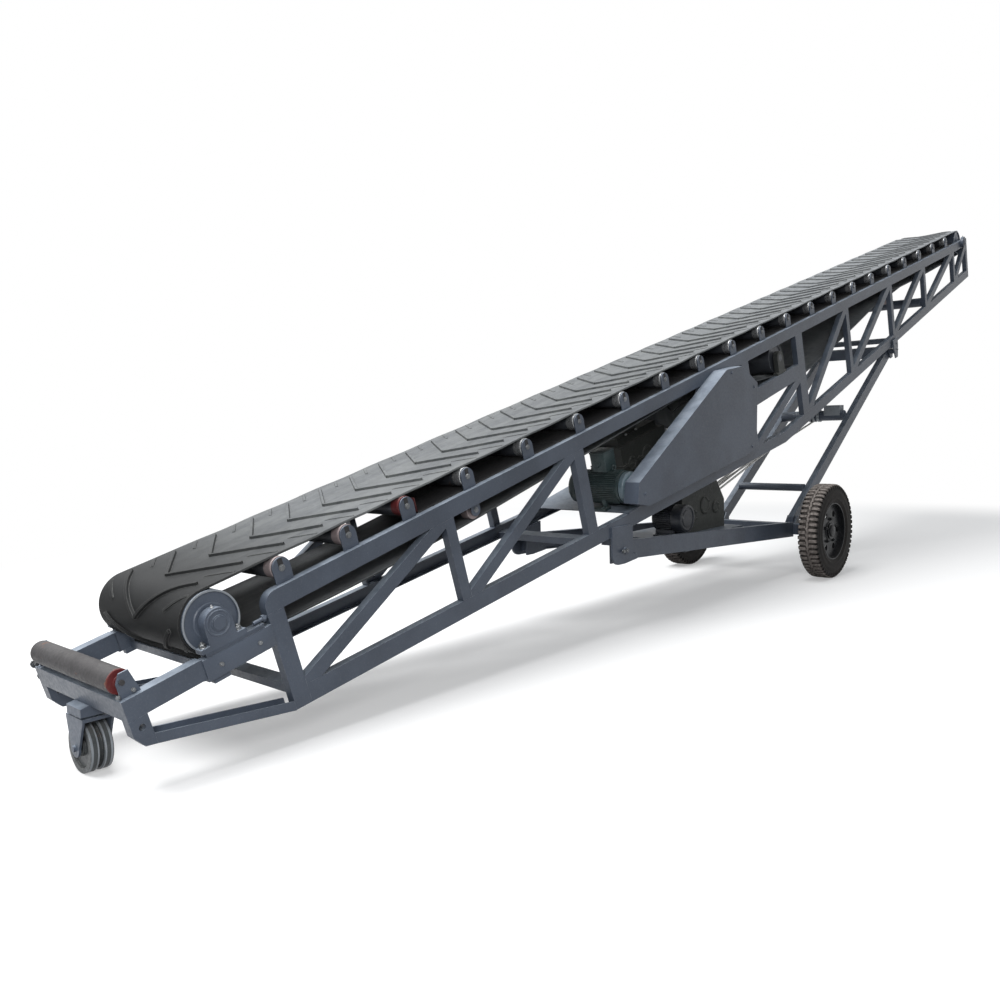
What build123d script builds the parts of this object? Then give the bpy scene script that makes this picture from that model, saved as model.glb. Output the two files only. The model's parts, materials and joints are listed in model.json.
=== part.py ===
from build123d import *
import os
from math import asin, atan2, cos, degrees, hypot, pi, radians, sin

# A mobile belt conveyor: a lattice boom with a cleated belt, carried by a
# two-wheeled undercarriage and by a caster under its tail.
# Lengths are in millimetres, angles in degrees. The boom is drawn in its own frame:
# s runs up the belt, n stands square to it and y runs across, near side negative.

# Fits
TOUCH_GAP = 0.3
PIN_GAP = 0.3
MOVE_GAP = 6.0
OVERRUN = 40.0

# Boom
BELT_ANGLE = 15.45
BOOM_HEIGHT = 610.0
BOOM_LENGTH = 9620.0
HALF_WIDTH = 372.0
CHORD_DEPTH = 80.0
CHORD_FLANGE = 43.0
CHORD_WALL = 6.0
CHORD_CORNER = 60.0
KEEL_BEND_PLACE = 4512.0
KEEL_TAIL_DEPTH = 490.0
KEEL_BEND_DEPTH = 807.0
KEEL_HEAD_DEPTH = 428.0
TAIL_POST_WIDTH = 75.0
END_POST_WIDTH = 60.0
CHUTE_HOLE_RADIUS = 9.0
CHUTE_HOLE_UPPER = 140.0
CHUTE_HOLE_LOWER = 340.0

# Web members of the side trusses
WEB_WALL = 6.0
WEB_LEG = 40.0
DIAGONAL_WIDTH = 60.0
SUBBEAM_DRUM_TOP = 442.0
SUBBEAM_DRUM_HEIGHT = 90.0
SUBBEAM_BEND_TOP = 300.0
SUBBEAM_BEND_HEIGHT = 110.0
CARRIER_POST = 4942.0
HEAD_RUN = BOOM_LENGTH - CARRIER_POST
HEAD_POST_WIDTH = 60.0
HEAD_POST_SHARES = [0.2146, 0.4506, 0.6661, 0.8867]
# place along the belt, width along the belt, depth where the diagonal from it ends
VERTICALS = [
    (1010.0, 60.0, CHORD_DEPTH),
    (2032.0, 88.0, None),
    (3420.0, 60.0, SUBBEAM_DRUM_TOP + SUBBEAM_DRUM_HEIGHT),
    (4028.0, 100.0, SUBBEAM_BEND_TOP + SUBBEAM_BEND_HEIGHT),
    (CARRIER_POST, 120.0, CHORD_DEPTH),
] + [(CARRIER_POST + HEAD_RUN * share, HEAD_POST_WIDTH, CHORD_DEPTH) for share in HEAD_POST_SHARES]
MOTOR_POST, DRUM_POST, BEND_POST, _, _, TRAVEL_POST, TUBE_POST = [row[0] for row in VERTICALS[1:8]]

# Cross members between the bottom chords
TIE_WIDTH = 60.0
TIE_HEIGHT = 40.0
TIE_WALL = 5.0
TIE_PLACES = [TAIL_POST_WIDTH + TIE_WIDTH / 2, MOTOR_POST, BEND_POST, TRAVEL_POST]
TIE_TUBE_RADIUS = 44.5
TIE_TUBE_SHIFT = 33.0
TIE_TUBE_PLACE = TUBE_POST - TIE_TUBE_SHIFT

# Tail frame
ARM_TAIL = 605.0
ARM_TOP_DEPTH = 112.0
ARM_HEIGHT = 78.0
ARM_WIDTH = 50.0
BEAM_WIDTH = 40.0
HOUSING_LENGTH = 300.0
HOUSING_TOP_DEPTH = 115.0
HOUSING_HEIGHT = 125.0
HOUSING_WIDTH = 44.0
HOUSING_PROUD = 8.0
POST_WIDTH = 70.0
POST_FOOT_DEPTH = 309.0
POST_CHAMFER_DEPTH = 250.0
POST_CHAMFER_WIDTH = 27.0
BRACE_HEIGHT = 40.0
BRACE_WIDTH = 80.0
BRACE_ROOT_DEPTH = 452.0
TOW_HOLE_RADIUS = 12.5
TOW_HOLE_INSET = 38.0

# Drums and belt
DRUM_RADIUS = 122.5
DRUM_WALL = 8.0
DRUM_END_INSET = 7.0
TAIL_DRUM_PLACE = 198.0
TAIL_DRUM_RADIUS = 116.0
TAIL_DRUM_HALF = 332.0
HEAD_DRUM_INSET = 190.0
HEAD_DRUM_PLACE = BOOM_LENGTH - HEAD_DRUM_INSET
DRUM_DEPTH = 20.0
DRUM_HALF = 326.0
SHAFT_RADIUS = 25.0
BELT_HALF_WIDTH = 325.0
BELT_THICKNESS = 10.0
CLEAT_HEIGHT = 12.0
CLEAT_WIDTH = 16.0
CLEAT_PITCH = 196.0
CLEAT_START = 42.0
CLEAT_REACH = 262.0
CLEAT_SWEEP = 180.0
CLEAT_BAR_INNER = 205.0
CLEAT_BAR_SHIFT = 98.0
DRIVE_PLACE = (DRUM_POST + BEND_POST) / 2
DRIVE_DEPTH = 320.0
DRIVE_RADIUS = 112.0
BEND_SHIFT = 115.0
BEND_PLACE = (BEND_POST + CARRIER_POST) / 2 + BEND_SHIFT
BEND_DEPTH = 180.0
BEND_RADIUS = 112.0
SNUB_SHIFT = 43.0
SNUB_PLACE = CARRIER_POST + SNUB_SHIFT
SNUB_DEPTH = 372.0
SNUB_RADIUS = 50.0

# Idlers
IDLER_RADIUS = 44.5
IDLER_HALF = 333.0
IDLER_SHAFT = 10.0
IDLER_SHAFT_END = 352.0
IDLER_HEIGHT = 58.0
TAIL_DRUM_DEPTH = TAIL_DRUM_RADIUS - IDLER_HEIGHT - IDLER_RADIUS
LOADING_IDLERS = [130.0, 470.0, 810.0]
IDLER_START = 1210.0
IDLER_COUNT = 18
IDLER_HEAD_GAP = 485.0
IDLER_PITCH = (HEAD_DRUM_PLACE - IDLER_HEAD_GAP - IDLER_START) / (IDLER_COUNT - 1)
STAND_INNER = 340.0
STAND_WALL = 6.0
STAND_BASE = 80.0
STAND_TOP_RADIUS = 42.0
RETURN_HALF = 326.0
RETURN_STAND_WIDTH = 60.0
PRESS_PLACE = 1215.0
PRESS_DEPTH = 112.0
CARRY_SHIFT = 42.0
CARRY_PLACE = TRAVEL_POST + CARRY_SHIFT
CARRY_DEPTH = 210.0

# Loading roller at the tail
LOADER_PLACE = 572.0
LOADER_DEPTH = 57.0
LOADER_HALF = 326.0
LOADER_STAND_WALL = 8.0
LOADER_STAND_BASE = 72.0
LOADER_STAND_TOP = 34.0
LOADER_STAND_LEAN = 20.0
LOADER_STAND_RISE = 32.0

# Bearings
BEARING_WIDTH = 46.0
BEARING_RADIUS = 57.0
BEARING_FOOT = 190.0
BEARING_FOOT_HEIGHT = 18.0
SPACER_LENGTH = 250.0
SPACER_HEIGHT = 18.0
SPACER_HEAD_GAP = 30.0
SHAFT_PROUD = 8.0
FLANGE_BEARING_WIDTH = 28.0
INNER_BEARING_WIDTH = 34.0
INNER_BEARING_RADIUS = 50.0
INNER_FOOT = 150.0
SUBBEAM_WALL = 6.0
SNUB_BLOCK_WIDTH = 62.0
SNUB_BLOCK_HEIGHT = 90.0
SNUB_BLOCK_THICK = 30.0

# Scraper under the tail drum
SCRAPER_PLACE = 236.0
SCRAPER_DEPTH = 172.0
SCRAPER_HEIGHT = 34.0
SCRAPER_THICK = 12.0
SCRAPER_TAB = 40.0

# Drive
MOTOR_SHIFT = 468.0
MOTOR_PLACE = MOTOR_POST + MOTOR_SHIFT
MOTOR_DEPTH = 455.0
MOTOR_RADIUS = 104.0
MOTOR_BELL_RADIUS = 94.0
MOTOR_BELL_LENGTH = 60.0
MOTOR_NEAR = 350.0
MOTOR_FAR = 60.0
MOTOR_FOOT_LENGTH = 190.0
MOTOR_FOOT_WIDTH = 240.0
MOTOR_SHAFT = 20.0
MOTOR_PLATE_TAIL = 110.0
MOTOR_PLATE_HEAD = 190.0
MOTOR_PLATE_DEPTH = 572.0
TERMINAL_SIZE = 110.0
TERMINAL_HEIGHT = 125.0
GEARBOX_GAP = 156.0
GEARBOX_LENGTH = 530.0
GEARBOX_TAIL = MOTOR_PLACE + MOTOR_RADIUS + GEARBOX_GAP
GEARBOX_HEAD = GEARBOX_TAIL + GEARBOX_LENGTH
GEARBOX_TOP_DEPTH = 300.0
GEARBOX_FOOT_DEPTH = 560.0
GEARBOX_HALF_WIDTH = 120.0
GEARBOX_LID_INSET = 40.0
GEARBOX_LID_HEIGHT = 45.0
GEARBOX_DOME_RADIUS = 62.0
GEARBOX_DOME_HEIGHT = 38.0
GUARD_WALL = 3.0
GUARD_DEPTH = 98.0
# outline of the belt guard: place, depth
GUARD_OUTLINE = [
    (2402.0, 388.0),
    (3577.0, 26.0),
    (3800.0, 54.0),
    (3982.0, 218.0),
    (3842.0, 655.0),
    (2461.0, 552.0),
    (2354.0, 500.0),
]

# Undercarriage, in ground coordinates
WHEEL_X = 4750.0
WHEEL_Y = 603.0
TYRE_RADIUS = 356.0
TYRE_WIDTH = 147.0
TYRE_SHOULDER = 26.0
RIM_RADIUS = 215.0
RIM_WALL = 9.0
RIM_WIDTH = 128.0
RIM_DISC_INSET = 34.0
RIM_DISC_WALL = 10.0
RIM_HOLE_RADIUS = 24.0
RIM_HOLE_PLACE = 142.0
RIM_HOLE_COUNT = 6
HUB_RADIUS = 62.0
HUB_INNER = 70.0
HUB_OUTER = 46.0
STUB_RADIUS = 30.0
AXLE_SIZE = 80.0
AXLE_HALF = 508.0
PIVOT_X = 2390.0
PIVOT_Z = 484.0
PIVOT_PIN = 20.0
LEG_DEPTH = 112.0
LEG_WIDTH = 36.0
LEG_WALL = 6.0
LEG_TAIL_END = 50.0
EAR_WALL = 12.0
EAR_TAIL = 125.0
EAR_HEAD = 82.0
EAR_TOE_HEAD = 126.0
EAR_DROP = 76.0
EAR_HEEL_RADIUS = 62.0
EAR_TOE_HEIGHT = 45.0
INNER_EAR_TAIL = 55.0
EAR_RISE = 144.0
EAR_SADDLE = 14.0
LEG_TIE_SIZE = 60.0
LEG_TIE_PLACES = [3180.0, 4080.0]

# Winch on the undercarriage, in ground coordinates
WINCH_PLATE_HEIGHT = 12.0
WINCH_PLATE_HALF = 240.0
WINCH_MOTOR_X = 3326.0
WINCH_MOTOR_Z = 569.0
WINCH_MOTOR_RADIUS = 95.0
WINCH_MOTOR_NEAR = 250.0
WINCH_MOTOR_FAR = 20.0
WINCH_FOOT_HALF = 76.0
WINCH_BOX_THICK = 130.0
WINCH_BOX_LENGTH = 590.0
# corners of the gearbox over its seat: place past its tail side, height over the motor's middle
WINCH_BOX_CORNERS = [
    (WINCH_BOX_LENGTH, 74.0),
    (453.0, 257.0),
    (139.0, 257.0),
    (0, 131.0),
]
ROPE_DRUM_PLACE = 380.0
ROPE_DRUM_RISE = 71.0
ROPE_DRUM_GAP = 12.0
ROPE_DRUM_LENGTH = 200.0
ROPE_DRUM_RADIUS = 75.0
ROPE_FLANGE_RADIUS = 130.0
ROPE_FLANGE_WALL = 10.0
ROPE_STAND_WALL = 12.0
ROPE_STAND_FOOT = 220.0
ROPE_STAND_TOP = 80.0

# Struts, in ground coordinates
STRUT_PIN_X = 4836.0
STRUT_PIN_Z = 413.0
STRUT_PIN = 18.0
SLIDER_SHARE = 0.44207
SLIDER_PLACE = CARRIER_POST + HEAD_RUN * SLIDER_SHARE
SLIDER_DROP = 68.3
STRUT_DEPTH = 92.0
STRUT_WIDTH = 46.0
STRUT_OUTER = 326.0
STRUT_WALL = 6.0
LUG_WALL = 12.0
LUG_HALF_HEIGHT = 36.0
LOW_BAR_RADIUS = 30.0
LOW_BAR_ALONG = 360.0
LOW_BAR_RISE = 42.0
HIGH_BAR_RADIUS = 45.0
HIGH_BAR_ALONG = 1380.0
HIGH_BAR_RISE = 55.0
BLOCK_NEAR = 255.0
BLOCK_LENGTH = 140.0
BLOCK_WIDTH = 92.0
BLOCK_RISE = 90.0
SHEAVE_NEAR = 70.0
SHEAVE_RADIUS = 54.0
SHEAVE_WALL = 20.0
SHEAVE_STEP = 40.0
SHEAVE_COUNT = 3

# Slider carriage under the bottom chords
SLIDER_PIN = 22.0
SLIDER_GAP = 8.0
SLIDER_WALL = 10.0
SLIDER_HALF = 60.0
SLIDER_LIP = 48.0
SLIDER_SHOE = 12.0
SLIDER_FOOT = 60.0
SLIDER_BEAM_WIDTH = 60.0
SLIDER_BEAM_HEIGHT = 96.0

# Caster, in ground coordinates
CASTER_X = -513.0
CASTER_BOX_LENGTH = 100.0
CASTER_BOX_WIDTH = 120.0
CASTER_BOX_FOOT = 225.0
CASTER_BOX_RISE = 70.0
CASTER_RACE_RADIUS = 45.0
CASTER_RACE_HEIGHT = 7.0
CASTER_PIN = 15.0
FORK_TOP = 217.0
FORK_WALL = 12.0
FORK_PLATE = 9.0
FORK_NEAR = 60.0
FORK_FAR = 82.0
FORK_FOOT_RADIUS = 34.0
CASTER_TRAIL = 21.0
CASTER_WHEEL_X = -501.0
CASTER_RADIUS = 97.0
CASTER_WIDTH = 84.0
CASTER_SIDE_GAP = 7.0
CASTER_BOLT = 12.0
CASTER_TREAD_WIDTH = 32.0
CASTER_CORE_RADIUS = 78.0
CASTER_HUB_RADIUS = 34.0
CASTER_WEB_INSET = 10.0

ACROSS = (0, -1, 0)
ALONG = (1, 0, 0)


def prism(points, low_y, high_y):
    """A side-view outline carried across from low_y to high_y."""
    face = Plane.XZ.offset(-high_y) * Polygon(*points, align=None)
    return extrude(face, amount=high_y - low_y, dir=ACROSS)


def bar(place, height, radius, low_y, high_y):
    """A round bar that lies across."""
    face = Plane.XZ.offset(-high_y) * (Pos(place, height) * Circle(radius))
    return extrude(face, amount=high_y - low_y, dir=ACROSS)


def block(low, high):
    """A box between two opposite corners."""
    size = [b - a for a, b in zip(low, high)]
    middle = [(a + b) / 2 for a, b in zip(low, high)]
    return Pos(*middle) * Box(*size)


def solids_of(shape):
    """The solids of a shape, a list of shapes or one solid."""
    if isinstance(shape, (list, tuple)):
        return [solid for item in shape for solid in solids_of(item)]
    return list(shape.solids())


def both_sides(shape):
    """A near-side shape with its mirror twin on the far side."""
    near = solids_of(shape)
    return near + [solid for item in near for solid in mirror(item, about=Plane.XZ).solids()]


def keel(place):
    """Depth of the bottom chord's lower edge at a place along the belt."""
    if place < KEEL_BEND_PLACE:
        share = place / KEEL_BEND_PLACE
        return -KEEL_TAIL_DEPTH - (KEEL_BEND_DEPTH - KEEL_TAIL_DEPTH) * share
    share = (place - KEEL_BEND_PLACE) / (BOOM_LENGTH - KEEL_BEND_PLACE)
    return -KEEL_BEND_DEPTH + (KEEL_BEND_DEPTH - KEEL_HEAD_DEPTH) * share


def floor_chord(place):
    """Depth of the bottom chord's upper edge."""
    return keel(place) + CHORD_DEPTH


def to_ground(place, height):
    """A point of the boom's side view in ground coordinates."""
    turn = radians(BELT_ANGLE)
    x = place * cos(turn) - height * sin(turn)
    z = BOOM_HEIGHT + place * sin(turn) + height * cos(turn)
    return x, z


def to_boom(x, z):
    """A point of the ground side view in the boom's frame."""
    turn = radians(BELT_ANGLE)
    rise = z - BOOM_HEIGHT
    return x * cos(turn) + rise * sin(turn), -x * sin(turn) + rise * cos(turn)


def on_boom(shapes):
    """Solids drawn in the boom's frame, set up at the belt's angle."""
    placed = Pos(0, 0, BOOM_HEIGHT) * Rot(0, -BELT_ANGLE, 0)
    return [placed * solid for solid in solids_of(shapes)]


# Side trusses

def top_chords():
    inner_y = -HALF_WIDTH + CHORD_FLANGE
    web = Plane.XZ.offset(HALF_WIDTH - CHORD_FLANGE)
    head, foot = BOOM_LENGTH, -CHORD_DEPTH
    outline = Polygon((0, 0), (head, 0), (head, foot), (0, foot), align=None)
    corner = outline.vertices().sort_by(Axis.X)[:2].sort_by(Axis.Y)[-1]
    outline = fillet(corner, CHORD_CORNER)
    hollow = offset(outline, -CHORD_WALL)
    outer = extrude(web * outline, amount=CHORD_FLANGE, dir=ACROSS)
    inner = Pos(0, CHORD_WALL, 0) * extrude(web * hollow, amount=CHORD_FLANGE, dir=ACROSS)
    run = prism(
        [
            (CHORD_CORNER, -CHORD_WALL),
            (BOOM_LENGTH + OVERRUN, -CHORD_WALL),
            (BOOM_LENGTH + OVERRUN, CHORD_WALL - CHORD_DEPTH),
            (CHORD_CORNER, CHORD_WALL - CHORD_DEPTH),
        ],
        -HALF_WIDTH + CHORD_WALL,
        inner_y + OVERRUN,
    )
    head_hole = bar(HEAD_DRUM_PLACE, -DRUM_DEPTH, SHAFT_RADIUS + PIN_GAP, -HALF_WIDTH - OVERRUN, inner_y)
    return both_sides(outer - inner - run - head_hole)


def channel_run(start, end):
    """A bottom chord between two places, its web outward."""
    points = [(p, keel(p)) for p in (start, end)] + [(p, floor_chord(p)) for p in (end, start)]
    hollow = [
        (start - OVERRUN, keel(start) + CHORD_WALL + (keel(start) - keel(end)) * OVERRUN / (end - start)),
        (end + OVERRUN, keel(end) + CHORD_WALL - (keel(start) - keel(end)) * OVERRUN / (end - start)),
        (end + OVERRUN, floor_chord(end) - CHORD_WALL - (keel(start) - keel(end)) * OVERRUN / (end - start)),
        (start - OVERRUN, floor_chord(start) - CHORD_WALL + (keel(start) - keel(end)) * OVERRUN / (end - start)),
    ]
    outer = prism(points, -HALF_WIDTH, -HALF_WIDTH + CHORD_FLANGE)
    return outer - prism(hollow, -HALF_WIDTH + CHORD_WALL, -HALF_WIDTH + CHORD_FLANGE + OVERRUN)


def bottom_chords_tail():
    return both_sides(channel_run(TAIL_POST_WIDTH, KEEL_BEND_PLACE))


def bottom_chords_head():
    return both_sides(channel_run(KEEL_BEND_PLACE, BOOM_LENGTH - END_POST_WIDTH))


def end_posts():
    """Channels that close the side trusses at tail and head."""
    posts = []
    for start, end in ((0, TAIL_POST_WIDTH), (BOOM_LENGTH - END_POST_WIDTH, BOOM_LENGTH)):
        points = [(start, -CHORD_DEPTH), (end, -CHORD_DEPTH), (end, keel(end)), (start, keel(start))]
        outer = prism(points, -HALF_WIDTH, -HALF_WIDTH + CHORD_FLANGE)
        hollow = block(
            (start + WEB_WALL, -HALF_WIDTH + WEB_WALL, -KEEL_BEND_DEPTH),
            (end - WEB_WALL, -HALF_WIDTH + CHORD_FLANGE + OVERRUN, OVERRUN),
        )
        posts.append(outer - hollow)
    middle = BOOM_LENGTH - END_POST_WIDTH / 2
    for depth in (CHUTE_HOLE_UPPER, CHUTE_HOLE_LOWER):
        posts[-1] -= bar(middle, -depth, CHUTE_HOLE_RADIUS, -HALF_WIDTH - OVERRUN, -HALF_WIDTH + OVERRUN)
    return both_sides(posts)


def web_verticals():
    """Angle posts between the chords, one leg in the truss plane and one inward."""
    posts = []
    for place, width, _ in VERTICALS:
        start, end = place - width / 2, place + width / 2
        outline = [(start, -CHORD_DEPTH), (end, -CHORD_DEPTH), (end, floor_chord(end))]
        if start < KEEL_BEND_PLACE < end:
            outline.append((KEEL_BEND_PLACE, floor_chord(KEEL_BEND_PLACE)))
        outline.append((start, floor_chord(start)))
        whole = prism(outline, -HALF_WIDTH, -HALF_WIDTH + WEB_LEG)
        hollow = block(
            (start + WEB_WALL, -HALF_WIDTH + WEB_WALL, -KEEL_BEND_DEPTH),
            (end + OVERRUN, OVERRUN - HALF_WIDTH + WEB_LEG, 0),
        )
        posts.append(whole - hollow)
    return both_sides(posts)


def strip(start, end, low, high):
    """Corners of a strip along a line, its edges low and high off the line."""
    along = atan2(end[1] - start[1], end[0] - start[0])
    step = (cos(along) * OVERRUN, sin(along) * OVERRUN)
    side = (-sin(along), cos(along))
    first = (start[0] - step[0], start[1] - step[1])
    last = (end[0] + step[0], end[1] + step[1])
    return [
        (first[0] + side[0] * low, first[1] + side[1] * low),
        (last[0] + side[0] * low, last[1] + side[1] * low),
        (last[0] + side[0] * high, last[1] + side[1] * high),
        (first[0] + side[0] * high, first[1] + side[1] * high),
    ]


def web_diagonals():
    """Angle diagonals that rise from one post's foot to the next post's head."""
    posts = [(TAIL_POST_WIDTH / 2, TAIL_POST_WIDTH, CHORD_DEPTH)] + VERTICALS
    posts.append((BOOM_LENGTH - END_POST_WIDTH / 2, END_POST_WIDTH, None))
    members = []
    for (place, width, top), (next_place, next_width, _) in zip(posts, posts[1:]):
        if top is None:
            continue
        left, right = place + width / 2, next_place - next_width / 2
        foot, head = (left, floor_chord(left)), (right, -top)
        bay = [(left, -top), (right, -top), (right, floor_chord(right))]
        if left < KEEL_BEND_PLACE < right:
            bay.append((KEEL_BEND_PLACE, floor_chord(KEEL_BEND_PLACE)))
        bay.append(foot)
        half = DIAGONAL_WIDTH / 2
        outer = prism(strip(foot, head, -half, half), -HALF_WIDTH, -HALF_WIDTH + WEB_LEG)
        hollow = prism(
            strip(foot, head, -half - OVERRUN, half - WEB_WALL),
            -HALF_WIDTH + WEB_WALL,
            -HALF_WIDTH + WEB_LEG + OVERRUN,
        )
        members.append(outer - hollow & prism(bay, -HALF_WIDTH, -HALF_WIDTH + WEB_LEG))
    return both_sides(members)


def cross_ties():
    """Channels between the bottom chords, open downward, and one round tie."""
    reach = HALF_WIDTH - CHORD_FLANGE
    ties = []
    for place in TIE_PLACES:
        floor = keel(place) + CHORD_WALL
        start, end = place - TIE_WIDTH / 2, place + TIE_WIDTH / 2
        outer = block((start, -reach, floor), (end, reach, floor + TIE_HEIGHT))
        hollow = block(
            (start + TIE_WALL, -reach - OVERRUN, floor - OVERRUN),
            (end - TIE_WALL, reach + OVERRUN, floor + TIE_HEIGHT - TIE_WALL),
        )
        ties.append(outer - hollow)
    height = floor_chord(TIE_TUBE_PLACE) + TIE_TUBE_RADIUS + TIE_WALL
    tube = bar(TIE_TUBE_PLACE, height, TIE_TUBE_RADIUS, -HALF_WIDTH + WEB_LEG, HALF_WIDTH - WEB_LEG)
    ties.append(tube)
    return ties


# Tail frame

def tail_arms():
    points = [
        (-ARM_TAIL, -ARM_TOP_DEPTH),
        (-HOUSING_LENGTH, -ARM_TOP_DEPTH),
        (-HOUSING_LENGTH, -ARM_TOP_DEPTH - ARM_HEIGHT),
        (-ARM_TAIL, -ARM_TOP_DEPTH - ARM_HEIGHT),
    ]
    return both_sides(prism(points, -HALF_WIDTH, -HALF_WIDTH + ARM_WIDTH))


def tail_beam():
    reach = HALF_WIDTH - ARM_WIDTH
    return [
        block(
            (-ARM_TAIL, -reach, -ARM_TOP_DEPTH - ARM_HEIGHT),
            (-ARM_TAIL + BEAM_WIDTH, reach, -ARM_TOP_DEPTH),
        )
    ]


def takeup_housings():
    low = -HALF_WIDTH - HOUSING_PROUD
    return both_sides(
        block(
            (-HOUSING_LENGTH, low, -HOUSING_TOP_DEPTH - HOUSING_HEIGHT),
            (0, low + HOUSING_WIDTH, -HOUSING_TOP_DEPTH),
        )
    )


def corner_posts():
    foot = -ARM_TOP_DEPTH - ARM_HEIGHT
    points = [
        (-ARM_TAIL, foot),
        (-ARM_TAIL + POST_WIDTH, foot),
        (-ARM_TAIL + POST_WIDTH, -POST_FOOT_DEPTH),
        (-ARM_TAIL + POST_CHAMFER_WIDTH, -POST_FOOT_DEPTH + POST_CHAMFER_WIDTH / 2),
        (-ARM_TAIL, -POST_CHAMFER_DEPTH),
    ]
    post = prism(points, -HALF_WIDTH, -HALF_WIDTH + ARM_WIDTH)
    hole = bar(
        -ARM_TAIL + TOW_HOLE_INSET,
        foot - TOW_HOLE_INSET,
        TOW_HOLE_RADIUS,
        -HALF_WIDTH - OVERRUN,
        -HALF_WIDTH + ARM_WIDTH + OVERRUN,
    )
    return both_sides(post - hole)


def tail_braces():
    """Channels that lie open side up, from the corner posts down to the tail posts."""
    start = -ARM_TAIL + POST_WIDTH
    root = -BRACE_ROOT_DEPTH
    foot = -POST_FOOT_DEPTH
    high = BRACE_HEIGHT
    points = [(start, foot + high), (0, root), (0, root - high), (start, foot)]
    slope = (root - high - foot) / -start
    floor_start = foot + CHORD_WALL - slope * OVERRUN
    floor_end = root - high + CHORD_WALL + slope * OVERRUN
    hollow = [
        (start - OVERRUN, floor_start),
        (OVERRUN, floor_end),
        (OVERRUN, floor_end + high * 2),
        (start - OVERRUN, floor_start + high * 2),
    ]
    outer = prism(points, -HALF_WIDTH, -HALF_WIDTH + BRACE_WIDTH)
    inner = prism(hollow, -HALF_WIDTH + CHORD_WALL, -HALF_WIDTH + BRACE_WIDTH - CHORD_WALL)
    return both_sides(outer - inner)


# Belt

def belt_rounds():
    """Rounds that the belt runs on: place, height, radius of its smooth face, turn."""
    smooth = TOUCH_GAP
    rough = TOUCH_GAP + CLEAT_HEIGHT + BELT_THICKNESS
    return [
        (-TAIL_DRUM_PLACE, -TAIL_DRUM_DEPTH, TAIL_DRUM_RADIUS + smooth, 1),
        (HEAD_DRUM_PLACE, -DRUM_DEPTH, DRUM_RADIUS + smooth, 1),
        (CARRY_PLACE, -CARRY_DEPTH, IDLER_RADIUS + rough, -1),
        (SNUB_PLACE, -SNUB_DEPTH, SNUB_RADIUS + smooth, 1),
        (DRIVE_PLACE, -DRIVE_DEPTH, DRIVE_RADIUS + smooth, 1),
        (BEND_PLACE, -BEND_DEPTH, BEND_RADIUS + rough, -1),
        (PRESS_PLACE, -PRESS_DEPTH, IDLER_RADIUS + smooth, 1),
    ]


def belt_headings(rounds):
    """Heading, in radians, of the straight run that leaves each round."""
    headings = []
    for here, there in zip(rounds, rounds[1:] + rounds[:1]):
        reach = hypot(there[0] - here[0], there[1] - here[1])
        line = atan2(there[1] - here[1], there[0] - here[0])
        shift = here[2] * here[3] - there[2] * there[3]
        headings.append(line - asin(shift / reach))
    return headings


def belt_point(wheel, heading, thickness):
    """Point of the belt on a round, where it runs along a heading."""
    arm = wheel[2] * wheel[3] + thickness
    return wheel[0] - sin(heading) * arm, wheel[1] + cos(heading) * arm


def belt_line(thickness):
    """One face of the belt as a closed line of runs and arcs."""
    rounds = belt_rounds()
    headings = belt_headings(rounds)
    edges = []
    for index, wheel in enumerate(rounds):
        arrive, leave = headings[index - 1], headings[index]
        bend = (arrive - leave) * wheel[3] % (2 * pi)
        middle = arrive - wheel[3] * bend / 2
        start, mid, end = [belt_point(wheel, h, thickness) for h in (arrive, middle, leave)]
        edges.append(ThreePointArc(start, mid, end))
        following = belt_point(rounds[(index + 1) % len(rounds)], leave, thickness)
        edges.append(Line(end, following))
    return make_face(edges)


def cleat_shapes():
    """A chevron and two outer bars, flat, with the point toward the tail."""
    half = CLEAT_WIDTH / 2
    slope = CLEAT_SWEEP / CLEAT_REACH
    chevron = Polygon(
        (-half, 0),
        (CLEAT_SWEEP - half, -CLEAT_REACH),
        (CLEAT_SWEEP + half, -CLEAT_REACH),
        (half, 0),
        (CLEAT_SWEEP + half, CLEAT_REACH),
        (CLEAT_SWEEP - half, CLEAT_REACH),
        align=None,
    )
    near = BELT_HALF_WIDTH - CLEAT_WIDTH
    shift = CLEAT_BAR_SHIFT
    bars = []
    for side in (-1, 1):
        inner = shift + (CLEAT_BAR_INNER - CLEAT_REACH / 2) * slope
        outer = inner + (near - CLEAT_BAR_INNER) * slope
        bars.append(
            Polygon(
                (inner - half, side * CLEAT_BAR_INNER),
                (outer - half, side * near),
                (outer + half, side * near),
                (inner + half, side * CLEAT_BAR_INNER),
                align=None,
            )
        )
    return [chevron] + bars


def cleats_on_run(start, heading, last):
    """Cleats on a straight run of the belt's outer face."""
    shapes = cleat_shapes()
    cleats = []
    place = CLEAT_START
    while place < last - CLEAT_SWEEP - CLEAT_WIDTH:
        s = start[0] + cos(heading) * place
        n = start[1] + sin(heading) * place
        ahead, up = (cos(heading), 0, sin(heading)), (-sin(heading), 0, cos(heading))
        plane = Plane(origin=(s, 0, n), x_dir=ahead, z_dir=up)
        for shape in shapes:
            cleats.append(extrude(plane * shape, amount=CLEAT_HEIGHT, dir=plane.z_dir))
        place += CLEAT_PITCH
    return cleats


def belt():
    """The endless belt with its cleats, in one piece."""
    ring = belt_line(BELT_THICKNESS) - belt_line(0)
    loop = extrude(Plane.XZ.offset(-BELT_HALF_WIDTH) * ring, amount=2 * BELT_HALF_WIDTH, dir=ACROSS)
    rounds = belt_rounds()
    headings = belt_headings(rounds)
    cleats = []
    for index, wheel in enumerate(rounds):
        after = rounds[(index + 1) % len(rounds)]
        start = belt_point(wheel, headings[index], BELT_THICKNESS)
        end = belt_point(after, headings[index], BELT_THICKNESS)
        length = hypot(end[0] - start[0], end[1] - start[1])
        cleats += cleats_on_run(start, headings[index], length)
    return [loop.fuse(*cleats)]


# Rollers and drums

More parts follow.
